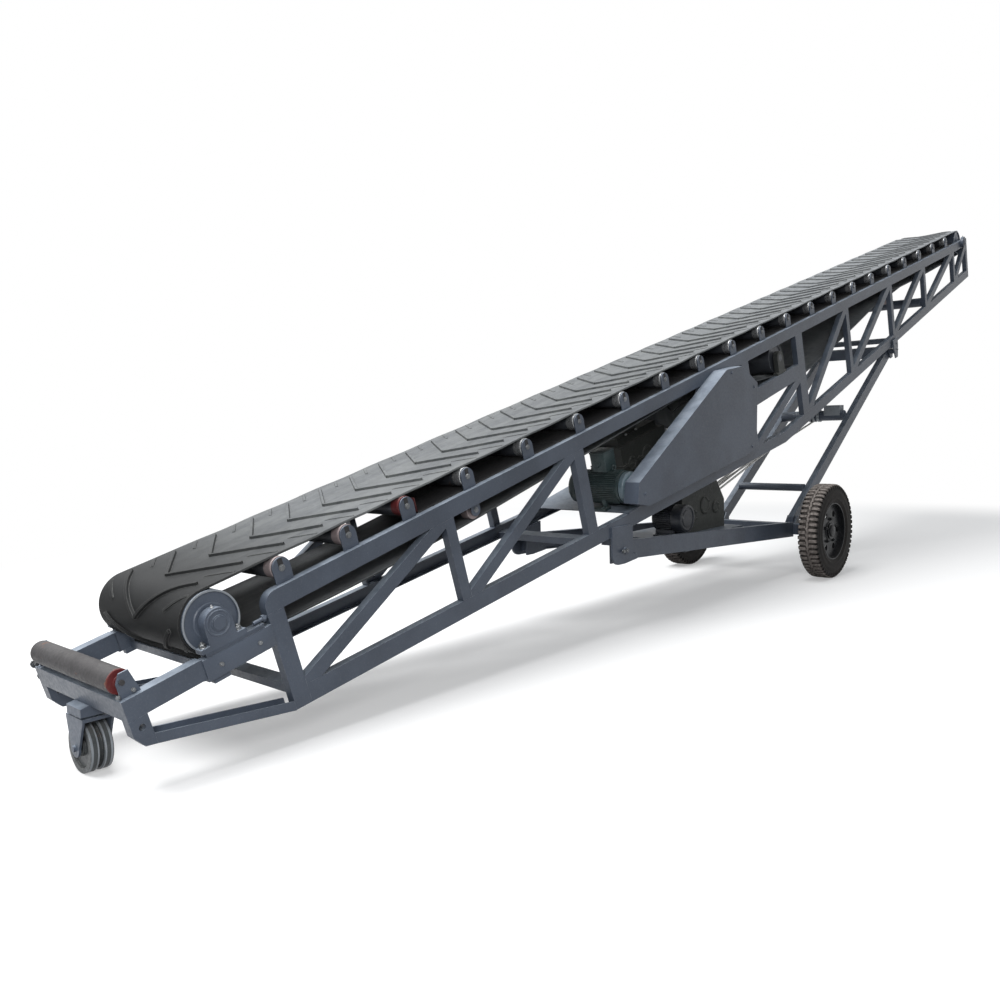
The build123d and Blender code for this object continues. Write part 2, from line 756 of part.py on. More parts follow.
def idler_places():
    return LOADING_IDLERS + [IDLER_START + IDLER_PITCH * i for i in range(IDLER_COUNT)]


def idler_rollers():
    rollers = []
    for place in idler_places():
        shell = bar(place, IDLER_HEIGHT, IDLER_RADIUS, -IDLER_HALF, IDLER_HALF)
        shaft = bar(place, IDLER_HEIGHT, IDLER_SHAFT, -IDLER_SHAFT_END, IDLER_SHAFT_END)
        rollers.append(shell + shaft)
    return rollers


def idler_stands():
    """Upright plates on the top chords that carry the idlers' shafts."""
    low, high = -STAND_INNER - STAND_WALL, -STAND_INNER
    stands = []
    for place in idler_places():
        foot = [
            (place - STAND_BASE / 2, 0),
            (place + STAND_BASE / 2, 0),
            (place + STAND_TOP_RADIUS, IDLER_HEIGHT),
            (place - STAND_TOP_RADIUS, IDLER_HEIGHT),
        ]
        plate = prism(foot, low, high) + bar(place, IDLER_HEIGHT, STAND_TOP_RADIUS, low, high)
        hole = bar(place, IDLER_HEIGHT, IDLER_SHAFT + PIN_GAP, low - OVERRUN, high + OVERRUN)
        stands.append(plate - hole)
    return both_sides(stands)


def return_rollers():
    """Rollers that guide the belt on its way back."""
    rollers = []
    for place, depth in ((PRESS_PLACE, PRESS_DEPTH), (CARRY_PLACE, CARRY_DEPTH)):
        shell = bar(place, -depth, IDLER_RADIUS, -RETURN_HALF, RETURN_HALF)
        shaft = bar(place, -depth, IDLER_SHAFT, -IDLER_SHAFT_END, IDLER_SHAFT_END)
        rollers.append(shell + shaft)
    return rollers


def return_stands():
    """Plates that hang the return rollers from the top chords."""
    low, high = -STAND_INNER - STAND_WALL, -STAND_INNER
    half = RETURN_STAND_WIDTH / 2
    stands = []
    for place, depth in ((PRESS_PLACE, PRESS_DEPTH), (CARRY_PLACE, CARRY_DEPTH)):
        points = [
            (place - half, -CHORD_DEPTH),
            (place + half, -CHORD_DEPTH),
            (place + half, -depth),
            (place - half, -depth),
        ]
        plate = prism(points, low, high) + bar(place, -depth, half, low, high)
        stands.append(plate - bar(place, -depth, IDLER_SHAFT + PIN_GAP, low - OVERRUN, high + OVERRUN))
    return both_sides(stands)


def drum(place, height, radius, half, shaft_end_near, shaft_end_far, shaft):
    """A drum with set-back ends on its shaft, hollow inside."""
    shell = bar(place, height, radius, -half, half)
    for side in (-1, 1):
        low, high = sorted((side * (half - DRUM_END_INSET), side * (half + OVERRUN)))
        shell -= bar(place, height, radius - DRUM_WALL, low, high)
    core = half - DRUM_END_INSET - DRUM_WALL
    shell -= bar(place, height, radius - DRUM_WALL, -core, core)
    return shell + bar(place, height, shaft, -shaft_end_near, shaft_end_far)


def tail_drum():
    end = HALF_WIDTH + HOUSING_PROUD + SHAFT_PROUD
    return [
        drum(
            -TAIL_DRUM_PLACE,
            -TAIL_DRUM_DEPTH,
            TAIL_DRUM_RADIUS,
            TAIL_DRUM_HALF,
            end,
            end,
            SHAFT_RADIUS,
        )
    ]


def head_drum():
    end = HALF_WIDTH + FLANGE_BEARING_WIDTH + SHAFT_PROUD
    return [drum(HEAD_DRUM_PLACE, -DRUM_DEPTH, DRUM_RADIUS, DRUM_HALF, end, end, SHAFT_RADIUS)]


def inner_end():
    """Where the shafts of the drums inside the boom end."""
    return HALF_WIDTH - SUBBEAM_WALL


def drive_drum():
    near = HALF_WIDTH + GUARD_DEPTH / 2
    return [drum(DRIVE_PLACE, -DRIVE_DEPTH, DRIVE_RADIUS, DRUM_HALF, near, inner_end(), SHAFT_RADIUS)]


def bend_drums():
    return [
        drum(BEND_PLACE, -BEND_DEPTH, BEND_RADIUS, DRUM_HALF, inner_end(), inner_end(), SHAFT_RADIUS),
        drum(SNUB_PLACE, -SNUB_DEPTH, SNUB_RADIUS, DRUM_HALF, inner_end(), inner_end(), IDLER_SHAFT * 2),
    ]


# Bearings

def pillow(place, height, seat, radius, foot, low, high, shaft):
    """A pillow block whose round body stands on a flat foot."""
    body = bar(place, height, radius, low, high)
    neck = prism(
        [
            (place - radius, height),
            (place + radius, height),
            (place + radius, seat),
            (place - radius, seat),
        ],
        low,
        high,
    )
    base = prism(
        [
            (place - foot / 2, seat),
            (place + foot / 2, seat),
            (place + foot / 2, seat + BEARING_FOOT_HEIGHT),
            (place - foot / 2, seat + BEARING_FOOT_HEIGHT),
        ],
        low,
        high,
    )
    whole = body + neck + base
    return whole - bar(place, height, shaft + PIN_GAP, low - OVERRUN, high + OVERRUN)


def tail_bearings():
    low = -HALF_WIDTH - HOUSING_PROUD
    high = low + HOUSING_WIDTH
    seat = -HOUSING_TOP_DEPTH
    end = -SPACER_HEAD_GAP
    spacer = block((end - SPACER_LENGTH, low, seat), (end, high, seat + SPACER_HEIGHT))
    unit = pillow(
        -TAIL_DRUM_PLACE,
        -TAIL_DRUM_DEPTH,
        seat + SPACER_HEIGHT,
        BEARING_RADIUS,
        BEARING_FOOT,
        low,
        high,
        SHAFT_RADIUS,
    )
    return both_sides(spacer + unit)


def head_bearings():
    """Flanged bearings on the outside of the top chords."""
    low = -HALF_WIDTH - FLANGE_BEARING_WIDTH
    whole = bar(HEAD_DRUM_PLACE, -DRUM_DEPTH, BEARING_RADIUS, low, -HALF_WIDTH)
    hole = bar(HEAD_DRUM_PLACE, -DRUM_DEPTH, SHAFT_RADIUS + PIN_GAP, low - OVERRUN, -HALF_WIDTH + OVERRUN)
    return both_sides(whole - hole)


def inner_bearings():
    """Bearings of the drive and bend drums, on the sub-beams and a post."""
    high = -HALF_WIDTH + WEB_LEG
    low = high - INNER_BEARING_WIDTH
    drive = pillow(
        DRIVE_PLACE,
        -DRIVE_DEPTH,
        -SUBBEAM_DRUM_TOP,
        INNER_BEARING_RADIUS,
        INNER_FOOT,
        low,
        high,
        SHAFT_RADIUS,
    )
    bend = pillow(
        BEND_PLACE,
        -BEND_DEPTH,
        -SUBBEAM_BEND_TOP,
        INNER_BEARING_RADIUS,
        INNER_FOOT,
        low,
        high,
        SHAFT_RADIUS,
    )
    half = SNUB_BLOCK_HEIGHT / 2
    wide = SNUB_BLOCK_WIDTH / 2
    inside = -HALF_WIDTH + WEB_WALL
    snub = block(
        (SNUB_PLACE - wide, inside, -SNUB_DEPTH - half),
        (SNUB_PLACE + wide, inside + SNUB_BLOCK_THICK, -SNUB_DEPTH + half),
    )
    snub -= bar(SNUB_PLACE, -SNUB_DEPTH, IDLER_SHAFT * 2 + PIN_GAP, inside - OVERRUN, inside + OVERRUN * 2)
    return both_sides([drive, bend, snub])


def subbeams():
    """Channels between posts that carry the drive and bend drums."""
    beams = []
    spans = (
        (2, 3, SUBBEAM_DRUM_TOP, SUBBEAM_DRUM_HEIGHT),
        (3, 4, SUBBEAM_BEND_TOP, SUBBEAM_BEND_HEIGHT),
    )
    for first, second, top, height in spans:
        start = VERTICALS[first][0] + VERTICALS[first][1] / 2
        end = VERTICALS[second][0] - VERTICALS[second][1] / 2
        outer = block(
            (start, -HALF_WIDTH, -top - height),
            (end, -HALF_WIDTH + WEB_LEG, -top),
        )
        hollow = block(
            (start - OVERRUN, -HALF_WIDTH + SUBBEAM_WALL, -top - height + SUBBEAM_WALL),
            (end + OVERRUN, -HALF_WIDTH + WEB_LEG + OVERRUN, -top - SUBBEAM_WALL),
        )
        beams.append(outer - hollow)
    return both_sides(beams)


def scraper():
    """Bar under the tail drum, held by tabs on the take-up housings."""
    reach = HALF_WIDTH + HOUSING_PROUD - HOUSING_WIDTH
    low = -SCRAPER_DEPTH - SCRAPER_HEIGHT
    rod = block(
        (-SCRAPER_PLACE - SCRAPER_THICK, -reach, low),
        (-SCRAPER_PLACE, reach, -SCRAPER_DEPTH),
    )
    return [rod]


# Loading roller

def loading_stands():
    seat = -ARM_TOP_DEPTH
    base = -LOADER_PLACE - LOADER_STAND_LEAN
    middle = -LOADER_PLACE
    points = [
        (base, seat),
        (base + LOADER_STAND_BASE, seat),
        (middle + LOADER_STAND_TOP, -LOADER_DEPTH + LOADER_STAND_RISE),
        (middle, -LOADER_DEPTH + LOADER_STAND_RISE),
        (base, -LOADER_DEPTH),
    ]
    low, high = -STAND_INNER - LOADER_STAND_WALL, -STAND_INNER
    plate = prism(points, low, high)
    hole = bar(-LOADER_PLACE, -LOADER_DEPTH, IDLER_SHAFT + PIN_GAP, low - OVERRUN, high + OVERRUN)
    return both_sides(plate - hole)


def loading_roller():
    shell = bar(-LOADER_PLACE, -LOADER_DEPTH, IDLER_RADIUS, -LOADER_HALF, LOADER_HALF)
    shaft = bar(-LOADER_PLACE, -LOADER_DEPTH, IDLER_SHAFT, -IDLER_SHAFT_END, IDLER_SHAFT_END)
    return [shell + shaft]


# Drive

def drive_motor():
    """Motor that lies across, with feet, end bell, terminal box and shaft."""
    far = MOTOR_FAR
    bell = -MOTOR_NEAR + MOTOR_BELL_LENGTH
    body = bar(MOTOR_PLACE, -MOTOR_DEPTH, MOTOR_RADIUS, bell, far)
    body += bar(MOTOR_PLACE, -MOTOR_DEPTH, MOTOR_BELL_RADIUS, -MOTOR_NEAR, bell)
    shaft_end = -HALF_WIDTH - GUARD_DEPTH / 2
    body += bar(MOTOR_PLACE, -MOTOR_DEPTH, MOTOR_SHAFT, shaft_end, -MOTOR_NEAR)
    half = MOTOR_FOOT_LENGTH / 2
    body += block(
        (MOTOR_PLACE - half, bell, -MOTOR_PLATE_DEPTH),
        (MOTOR_PLACE + half, bell + MOTOR_FOOT_WIDTH, -MOTOR_DEPTH - MOTOR_BELL_RADIUS / 2),
    )
    side = TERMINAL_SIZE / 2
    middle = bell + MOTOR_FOOT_WIDTH / 2
    body += block(
        (MOTOR_PLACE - side, middle - side, -MOTOR_DEPTH),
        (MOTOR_PLACE + side, middle + side, -MOTOR_DEPTH + MOTOR_RADIUS + TERMINAL_HEIGHT),
    )
    return [body]


def motor_plate():
    """Plate on the bottom chords under motor and gearbox."""
    start, end = MOTOR_PLACE - MOTOR_PLATE_TAIL, GEARBOX_HEAD
    top = -MOTOR_PLATE_DEPTH
    points = [(start, floor_chord(start)), (end, floor_chord(end)), (end, top), (start, top)]
    return [prism(points, -HALF_WIDTH, HALF_WIDTH)]


def gearbox():
    half = GEARBOX_HALF_WIDTH
    lid = GEARBOX_LID_INSET
    top = -GEARBOX_TOP_DEPTH
    case = block((GEARBOX_TAIL, -half, -MOTOR_PLATE_DEPTH), (GEARBOX_HEAD, half, top))
    case += block(
        (GEARBOX_TAIL + lid, -half + lid, top),
        (GEARBOX_HEAD - lid, half - lid, top + GEARBOX_LID_HEIGHT),
    )
    middle = (GEARBOX_TAIL + GEARBOX_HEAD) / 2
    crown = top + GEARBOX_LID_HEIGHT + GEARBOX_DOME_HEIGHT / 2
    case += Pos(middle, 0, crown) * Cylinder(GEARBOX_DOME_RADIUS, GEARBOX_DOME_HEIGHT)
    return [case]


def drive_guard():
    """Sheet cover over the drive belts, open toward the boom."""
    back = -HALF_WIDTH
    points = [(place, -depth) for place, depth in GUARD_OUTLINE]
    outline = Polygon(*points, align=None)
    inside = offset(outline, -GUARD_WALL, kind=Kind.INTERSECTION)
    outer = extrude(Plane.XZ.offset(-back) * outline, amount=GUARD_DEPTH, dir=ACROSS)
    reach = GUARD_DEPTH + OVERRUN - GUARD_WALL
    inner = extrude(Plane.XZ.offset(-back - OVERRUN) * inside, amount=reach, dir=ACROSS)
    return [outer - inner]


# Undercarriage

def hinge_ears():
    """Clevis ears under the bottom chords that hold the undercarriage's pins."""
    top = PIVOT_Z + EAR_RISE
    foot = PIVOT_Z - EAR_DROP
    heel = EAR_HEEL_RADIUS
    outline = Polygon(
        (PIVOT_X - EAR_TAIL, top),
        (PIVOT_X + EAR_HEAD, top),
        (PIVOT_X + EAR_HEAD, foot + EAR_TOE_HEIGHT),
        (PIVOT_X + EAR_TOE_HEAD, foot + EAR_TOE_HEIGHT),
        (PIVOT_X + EAR_TOE_HEAD, foot + EAR_SADDLE),
        (PIVOT_X, foot),
        (PIVOT_X - EAR_TAIL + heel, foot),
        (PIVOT_X - EAR_TAIL, foot + heel),
        align=None,
    )
    outline += Pos(PIVOT_X - EAR_TAIL + heel, foot + heel) * Circle(heel)
    outer = extrude(Plane.XZ.offset(HALF_WIDTH) * outline, amount=EAR_WALL, dir=ACROSS)
    inner_high = -HALF_WIDTH + LEG_WIDTH + MOVE_GAP * 2 + EAR_WALL
    inner = Pos(0, inner_high + HALF_WIDTH, 0) * outer
    inner &= block(
        (PIVOT_X - INNER_EAR_TAIL, -HALF_WIDTH, foot - OVERRUN),
        (PIVOT_X + EAR_TOE_HEAD, inner_high + OVERRUN, top + OVERRUN),
    )
    s0, n0 = to_boom(PIVOT_X - EAR_TAIL, top)
    s1, n1 = to_boom(PIVOT_X + EAR_HEAD, top)
    saddle = prism(
        [
            to_ground(s0 + EAR_WALL, keel(s0 + EAR_WALL)),
            to_ground(s1 - EAR_WALL, keel(s1 - EAR_WALL)),
            to_ground(s1 - EAR_WALL, keel(s1 - EAR_WALL) - EAR_SADDLE),
            to_ground(s0 + EAR_WALL, keel(s0 + EAR_WALL) - EAR_SADDLE),
        ],
        -HALF_WIDTH,
        inner_high - EAR_WALL,
    )
    below = prism(
        [
            to_ground(s0 - OVERRUN * 2, keel(s0 - OVERRUN * 2)),
            to_ground(s1 + OVERRUN * 2, keel(s1 + OVERRUN * 2)),
            (PIVOT_X + EAR_TAIL * 2, foot - OVERRUN),
            (PIVOT_X - EAR_TAIL * 2, foot - OVERRUN),
        ],
        -HALF_WIDTH,
        inner_high + OVERRUN,
    )
    pin = bar(PIVOT_X, PIVOT_Z, PIVOT_PIN, -HALF_WIDTH - EAR_WALL * 2, inner_high)
    return both_sides(outer + (inner & below) + saddle + pin)


def leg_ends():
    """The legs' middle line in the ground side view."""
    return (PIVOT_X, PIVOT_Z), (WHEEL_X - AXLE_SIZE / 2, TYRE_RADIUS)


def legs():
    """Channels from the pins under the boom to the axle."""
    start, end = leg_ends()
    along = atan2(end[1] - start[1], end[0] - start[0])
    length = hypot(end[0] - start[0], end[1] - start[1])
    place = Pos(start[0], 0, start[1]) * Rot(0, -degrees(along), 0)
    half = LEG_DEPTH / 2
    low = -HALF_WIDTH + MOVE_GAP
    outer = block((-LEG_TAIL_END, low, -half), (length + OVERRUN, low + LEG_WIDTH, half))
    hollow = block(
        (LEG_TAIL_END, low + LEG_WALL, LEG_WALL - half),
        (length + OVERRUN * 2, low + LEG_WIDTH + OVERRUN, half - LEG_WALL),
    )
    whole = place * (outer - hollow)
    whole -= block(
        (end[0], low - OVERRUN, end[1] - LEG_DEPTH * 2),
        (end[0] + OVERRUN * 3, low + LEG_WIDTH + OVERRUN, end[1] + LEG_DEPTH * 2),
    )
    hole = bar(PIVOT_X, PIVOT_Z, PIVOT_PIN + PIN_GAP, low - OVERRUN, low + LEG_WIDTH + OVERRUN)
    return both_sides(whole - hole)


def leg_top(x):
    """Height of the legs' upper edge over a place on the ground."""
    start, end = leg_ends()
    slope = (end[1] - start[1]) / (end[0] - start[0])
    return start[1] + slope * (x - start[0]) + LEG_DEPTH / 2 * hypot(1, slope)


def leg_ties():
    """Square tubes between the legs, under the winch."""
    reach = HALF_WIDTH - MOVE_GAP - LEG_WIDTH
    half = LEG_TIE_SIZE / 2
    ties = []
    for x in LEG_TIE_PLACES:
        top = leg_top(LEG_TIE_PLACES[-1] + half) - WINCH_PLATE_HEIGHT
        ties.append(block((x - half, -reach, top - LEG_TIE_SIZE), (x + half, reach, top)))
    return ties


def winch_seat():
    """Height of the winch plate's top."""
    return leg_top(LEG_TIE_PLACES[-1] + LEG_TIE_SIZE / 2)


def winch_plate():
    top = winch_seat()
    start = LEG_TIE_PLACES[0] - LEG_TIE_SIZE / 2
    end = LEG_TIE_PLACES[-1] + LEG_TIE_SIZE / 2
    low = (start, -WINCH_MOTOR_NEAR, top - WINCH_PLATE_HEIGHT)
    return [block(low, (end, WINCH_PLATE_HALF, top))]


def axle():
    """Square beam with lugs for the struts and round stubs for the wheels."""
    half = AXLE_SIZE / 2
    beam = block(
        (WHEEL_X - half, -AXLE_HALF, TYRE_RADIUS - half),
        (WHEEL_X + half, AXLE_HALF, TYRE_RADIUS + half),
    )
    stub_end = WHEEL_Y + HUB_OUTER
    beam += bar(WHEEL_X, TYRE_RADIUS, STUB_RADIUS, -stub_end, stub_end)
    lugs = []
    for low in (-STRUT_OUTER - MOVE_GAP - LUG_WALL, -STRUT_OUTER + STRUT_WIDTH + MOVE_GAP):
        root = WHEEL_X + half
        points = [
            (root, TYRE_RADIUS - half),
            (STRUT_PIN_X + LUG_HALF_HEIGHT, STRUT_PIN_Z - LUG_HALF_HEIGHT),
            (STRUT_PIN_X + LUG_HALF_HEIGHT, STRUT_PIN_Z + LUG_HALF_HEIGHT / 2),
            (STRUT_PIN_X, STRUT_PIN_Z + LUG_HALF_HEIGHT),
            (root, TYRE_RADIUS + half),
        ]
        lugs += both_sides(prism(points, low, low + LUG_WALL))
    pin_low = -STRUT_OUTER - MOVE_GAP - LUG_WALL
    pin_high = -STRUT_OUTER + STRUT_WIDTH + MOVE_GAP + LUG_WALL
    lugs += both_sides(bar(STRUT_PIN_X, STRUT_PIN_Z, STRUT_PIN, pin_low, pin_high))
    return [beam.fuse(*lugs)]


def winch_motor():
    seat = winch_seat()
    body = bar(WINCH_MOTOR_X, WINCH_MOTOR_Z, WINCH_MOTOR_RADIUS, -WINCH_MOTOR_NEAR, -WINCH_MOTOR_FAR)
    half = WINCH_FOOT_HALF
    near = -WINCH_MOTOR_NEAR + WINCH_MOTOR_RADIUS / 2
    body += block((WINCH_MOTOR_X - half, near, seat), (WINCH_MOTOR_X + half, -WINCH_MOTOR_FAR, WINCH_MOTOR_Z))
    return [body]


def winch_box_tail():
    """Place where the winch gearbox begins, beside the motor."""
    return WINCH_MOTOR_X + WINCH_MOTOR_RADIUS + TOUCH_GAP


def winch_gearbox():
    seat = winch_seat()
    tail = winch_box_tail()
    points = [(tail, seat), (tail + WINCH_BOX_LENGTH, seat)]
    points += [(tail + along, WINCH_MOTOR_Z + rise) for along, rise in WINCH_BOX_CORNERS]
    return [prism(points, -WINCH_MOTOR_FAR - WINCH_BOX_THICK, -WINCH_MOTOR_FAR)]


def rope_drum_place():
    """The rope drum's middle in the side view and its near end."""
    near = -WINCH_MOTOR_FAR + ROPE_DRUM_GAP
    return winch_box_tail() + ROPE_DRUM_PLACE, WINCH_MOTOR_Z + ROPE_DRUM_RISE, near


def rope_drum():
    x, z, near = rope_drum_place()
    far = near + ROPE_DRUM_LENGTH
    core = bar(x, z, ROPE_DRUM_RADIUS, near, far)
    for low in (near, far - ROPE_FLANGE_WALL):
        core += bar(x, z, ROPE_FLANGE_RADIUS, low, low + ROPE_FLANGE_WALL)
    return [core + bar(x, z, SHAFT_RADIUS, -WINCH_MOTOR_FAR, far + ROPE_STAND_WALL * 2)]


def rope_stands():
    """Plate under the far end of the rope drum; the gearbox carries the near end."""
    seat = winch_seat()
    x, z, near = rope_drum_place()
    low = near + ROPE_DRUM_LENGTH
    foot, top = ROPE_STAND_FOOT / 2, ROPE_STAND_TOP / 2
    points = [(x - foot, seat), (x + foot, seat), (x + top, z + top), (x - top, z + top)]
    plate = prism(points, low, low + ROPE_STAND_WALL)
    return [plate - bar(x, z, SHAFT_RADIUS + PIN_GAP, low - OVERRUN, low + OVERRUN)]


# Road wheels

def ring_profile(outline, centre_y):
    """A profile of radius and offset, turned about the axle."""
    points = [(WHEEL_X + radius, centre_y + across) for radius, across in outline]
    face = Plane.XY.offset(TYRE_RADIUS) * Polygon(*points, align=None)
    return revolve(face, axis=Axis((WHEEL_X, 0, TYRE_RADIUS), (0, 1, 0)))


def tyre(side):
    half = TYRE_WIDTH / 2
    bead = RIM_WIDTH / 2
    shoulder = TYRE_SHOULDER
    outline = [
        (RIM_RADIUS, -bead),
        (RIM_RADIUS + shoulder, -half),
        (TYRE_RADIUS - shoulder, -half),
        (TYRE_RADIUS - shoulder / 3, -half + shoulder / 2),
        (TYRE_RADIUS, -half + shoulder),
        (TYRE_RADIUS, half - shoulder),
        (TYRE_RADIUS - shoulder / 3, half - shoulder / 2),
        (TYRE_RADIUS - shoulder, half),
        (RIM_RADIUS + shoulder, half),
        (RIM_RADIUS, bead),
    ]
    return [ring_profile(outline, side * WHEEL_Y)]


def rim(side):
    """Dished rim with hand holes and a hub bored for the axle stub."""
    bead = RIM_WIDTH / 2
    inner = RIM_RADIUS - RIM_WALL
    centre = side * WHEEL_Y
    band = ring_profile([(inner, -bead), (RIM_RADIUS, -bead), (RIM_RADIUS, bead), (inner, bead)], centre)
    disc_out = bead - RIM_DISC_INSET
    low, high = sorted((centre + side * (disc_out - RIM_DISC_WALL), centre + side * disc_out))
    disc = bar(WHEEL_X, TYRE_RADIUS, inner, low, high)
    hub_low, hub_high = sorted((centre - side * HUB_INNER, centre + side * HUB_OUTER))
    whole = band + disc + bar(WHEEL_X, TYRE_RADIUS, HUB_RADIUS, hub_low, hub_high)
    whole -= bar(WHEEL_X, TYRE_RADIUS, STUB_RADIUS + PIN_GAP, hub_low - OVERRUN, hub_high + OVERRUN)
    for index in range(RIM_HOLE_COUNT):
        turn = 2 * pi * index / RIM_HOLE_COUNT
        x = WHEEL_X + RIM_HOLE_PLACE * cos(turn)
        z = TYRE_RADIUS + RIM_HOLE_PLACE * sin(turn)
        whole -= bar(x, z, RIM_HOLE_RADIUS, low - OVERRUN, high + OVERRUN)
    return [whole]


# Struts

def slider_height():
    """Height of the slider's pin in the boom's frame."""
    return keel(SLIDER_PLACE) - SLIDER_DROP


def strut_line():
    """Pin on the axle, pin on the slider, length and heading between them."""
    start = (STRUT_PIN_X, STRUT_PIN_Z)
    end = to_ground(SLIDER_PLACE, slider_height())
    length = hypot(end[0] - start[0], end[1] - start[1])
    return start, end, length, atan2(end[1] - start[1], end[0] - start[0])


def struts():
    """Box tubes with rounded eyes at both ends."""
    start, end, length, heading = strut_line()
    half = STRUT_DEPTH / 2
    low, high = -STRUT_OUTER, -STRUT_OUTER + STRUT_WIDTH
    place = Pos(start[0], 0, start[1]) * Rot(0, -degrees(heading), 0)
    whole = block((0, low, -half), (length, high, half))
    whole += bar(0, 0, half, low, high) + bar(length, 0, half, low, high)
    whole -= bar(0, 0, STRUT_PIN + PIN_GAP, low - OVERRUN, high + OVERRUN)
    whole -= bar(length, 0, SLIDER_PIN + PIN_GAP, low - OVERRUN, high + OVERRUN)
    return both_sides(place * whole)


def strut_point(along, rise):
    """A point beside the struts' middle line."""
    start, _, _, heading = strut_line()
    x = start[0] + along * cos(heading) - rise * sin(heading)
    return x, start[1] + along * sin(heading) + rise * cos(heading)


def strut_bars():
    """Round bars between the struts; the upper one carries the rope block."""
    reach = STRUT_OUTER - STRUT_WIDTH
    low = strut_point(LOW_BAR_ALONG, LOW_BAR_RISE)
    high = strut_point(HIGH_BAR_ALONG, HIGH_BAR_RISE)
    bars = [bar(low[0], low[1], LOW_BAR_RADIUS, -reach, reach)]
    upper = bar(high[0], high[1], HIGH_BAR_RADIUS, -reach, reach)
    bars.append(upper)
    return bars


def rope_block():
    """Rope anchor block and sheaves side by side on the upper bar."""
    x, z = strut_point(HIGH_BAR_ALONG, HIGH_BAR_RISE)
    half = BLOCK_WIDTH / 2
    anchor = block((x - half, -BLOCK_NEAR, z), (x + half, -BLOCK_NEAR + BLOCK_LENGTH, z + BLOCK_RISE))
    hole = bar(x, z, HIGH_BAR_RADIUS + PIN_GAP, -STRUT_OUTER, STRUT_OUTER)
    sheaves = [anchor - hole]
    for index in range(SHEAVE_COUNT):
        low = -SHEAVE_NEAR + SHEAVE_STEP * index
        sheaves.append(bar(x, z, SHEAVE_RADIUS, low, low + SHEAVE_WALL) - hole)
    return sheaves


def slider():
    """Carriage on the bottom chords, in one piece with the pin across it."""
    place, depth = SLIDER_PLACE, slider_height()
    start, end = place - SLIDER_HALF, place + SLIDER_HALF
    gap = SLIDER_GAP
    out = -HALF_WIDTH - gap
    shoe_in = -STRUT_OUTER - MOVE_GAP
    shoe = prism(
        [
            (start, keel(start) - gap - SLIDER_SHOE),
            (end, keel(end) - gap - SLIDER_SHOE),
            (end, keel(end) - gap),
            (start, keel(start) - gap),
        ],
        out - SLIDER_WALL,
        shoe_in,
    )
    outer = prism(
        [
            (start, keel(start) + SLIDER_LIP),
            (start, keel(start) - gap - SLIDER_SHOE),
            (place - SLIDER_HALF / 2, depth - SLIDER_FOOT),
            (place + SLIDER_HALF / 2, depth - SLIDER_FOOT),
            (end, keel(end) - gap - SLIDER_SHOE),
            (end, keel(end) + SLIDER_LIP),
        ],
        out - SLIDER_WALL,
        out,
    )
    inner = prism(
        [
            (start, keel(start) - gap - SLIDER_SHOE),
            (place - SLIDER_HALF / 2, depth - SLIDER_FOOT),
            (place + SLIDER_HALF / 2, depth - SLIDER_FOOT),
            (end, keel(end) - gap - SLIDER_SHOE),
        ],
        shoe_in - SLIDER_WALL,
        shoe_in,
    )
    halves = both_sides(shoe + outer + inner)
    pin = bar(place, depth, SLIDER_PIN, out - SLIDER_WALL, -out + SLIDER_WALL)
    reach = STRUT_OUTER - STRUT_WIDTH - MOVE_GAP
    wide, tall = SLIDER_BEAM_WIDTH / 2, SLIDER_BEAM_HEIGHT / 2
    beam = block((place - wide, -reach, depth - tall), (place + wide, reach, depth + tall))
    return [pin.fuse(*halves, beam)]


# Caster

def caster_box():
    """Box under the tail beam that holds the swivel."""
    half = CASTER_BOX_LENGTH / 2
    wide = CASTER_BOX_WIDTH / 2
    foot = CASTER_BOX_FOOT
    whole = block((CASTER_X - half, -wide, foot), (CASTER_X + half, wide, foot + CASTER_BOX_RISE))
    race = CASTER_RACE_HEIGHT
    whole += Pos(CASTER_X, 0, foot - race / 2) * Cylinder(CASTER_RACE_RADIUS, race)
    whole -= Pos(CASTER_X, 0, foot) * Cylinder(CASTER_PIN + PIN_GAP, CASTER_BOX_RISE)
    for solid in on_boom(tail_beam()):
        whole -= solid
    beam_foot = -ARM_TOP_DEPTH - ARM_HEIGHT
    first = to_ground(-ARM_TAIL - OVERRUN * 2, beam_foot)
    last = to_ground(-ARM_TAIL + BEAM_WIDTH + OVERRUN * 2, beam_foot)
    high = last[1] + OVERRUN * 4
    above = prism([first, last, (last[0], high), (first[0], high)], -wide, wide)
    return [whole - above]


def caster_fork():
    """Swivelling fork: top plate with kingpin, side plates and the wheel's bolt."""
    near, far = -FORK_NEAR, FORK_FAR
    inner = CASTER_WIDTH / 2 + CASTER_SIDE_GAP
    tail, head = CASTER_WHEEL_X - inner, CASTER_WHEEL_X + inner
    whole = block(
        (tail - FORK_PLATE, near, FORK_TOP - FORK_WALL),
        (head + FORK_PLATE, far, FORK_TOP),
    )
    centre = (CASTER_TRAIL, CASTER_RADIUS)
    foot = FORK_FOOT_RADIUS
    for x in (tail - FORK_PLATE, head):
        outline = Polygon(
            (near, FORK_TOP - FORK_WALL),
            (far, FORK_TOP - FORK_WALL),
            (centre[0] + foot, centre[1]),
            (centre[0] - foot, centre[1]),
            align=None,
        )
        outline += Pos(*centre) * Circle(foot)
        whole += extrude(Plane.YZ.offset(x) * outline, amount=FORK_PLATE, dir=ALONG)
    bolt = Plane.YZ.offset(tail - FORK_PLATE * 2) * (Pos(*centre) * Circle(CASTER_BOLT))
    whole += extrude(bolt, amount=head - tail + FORK_PLATE * 4, dir=ALONG)
    pin_foot = FORK_TOP - FORK_WALL
    pin_length = CASTER_BOX_FOOT + CASTER_BOX_RISE / 3 - pin_foot
    whole += Pos(CASTER_X, 0, pin_foot + pin_length / 2) * Cylinder(CASTER_PIN, pin_length)
    return [whole]


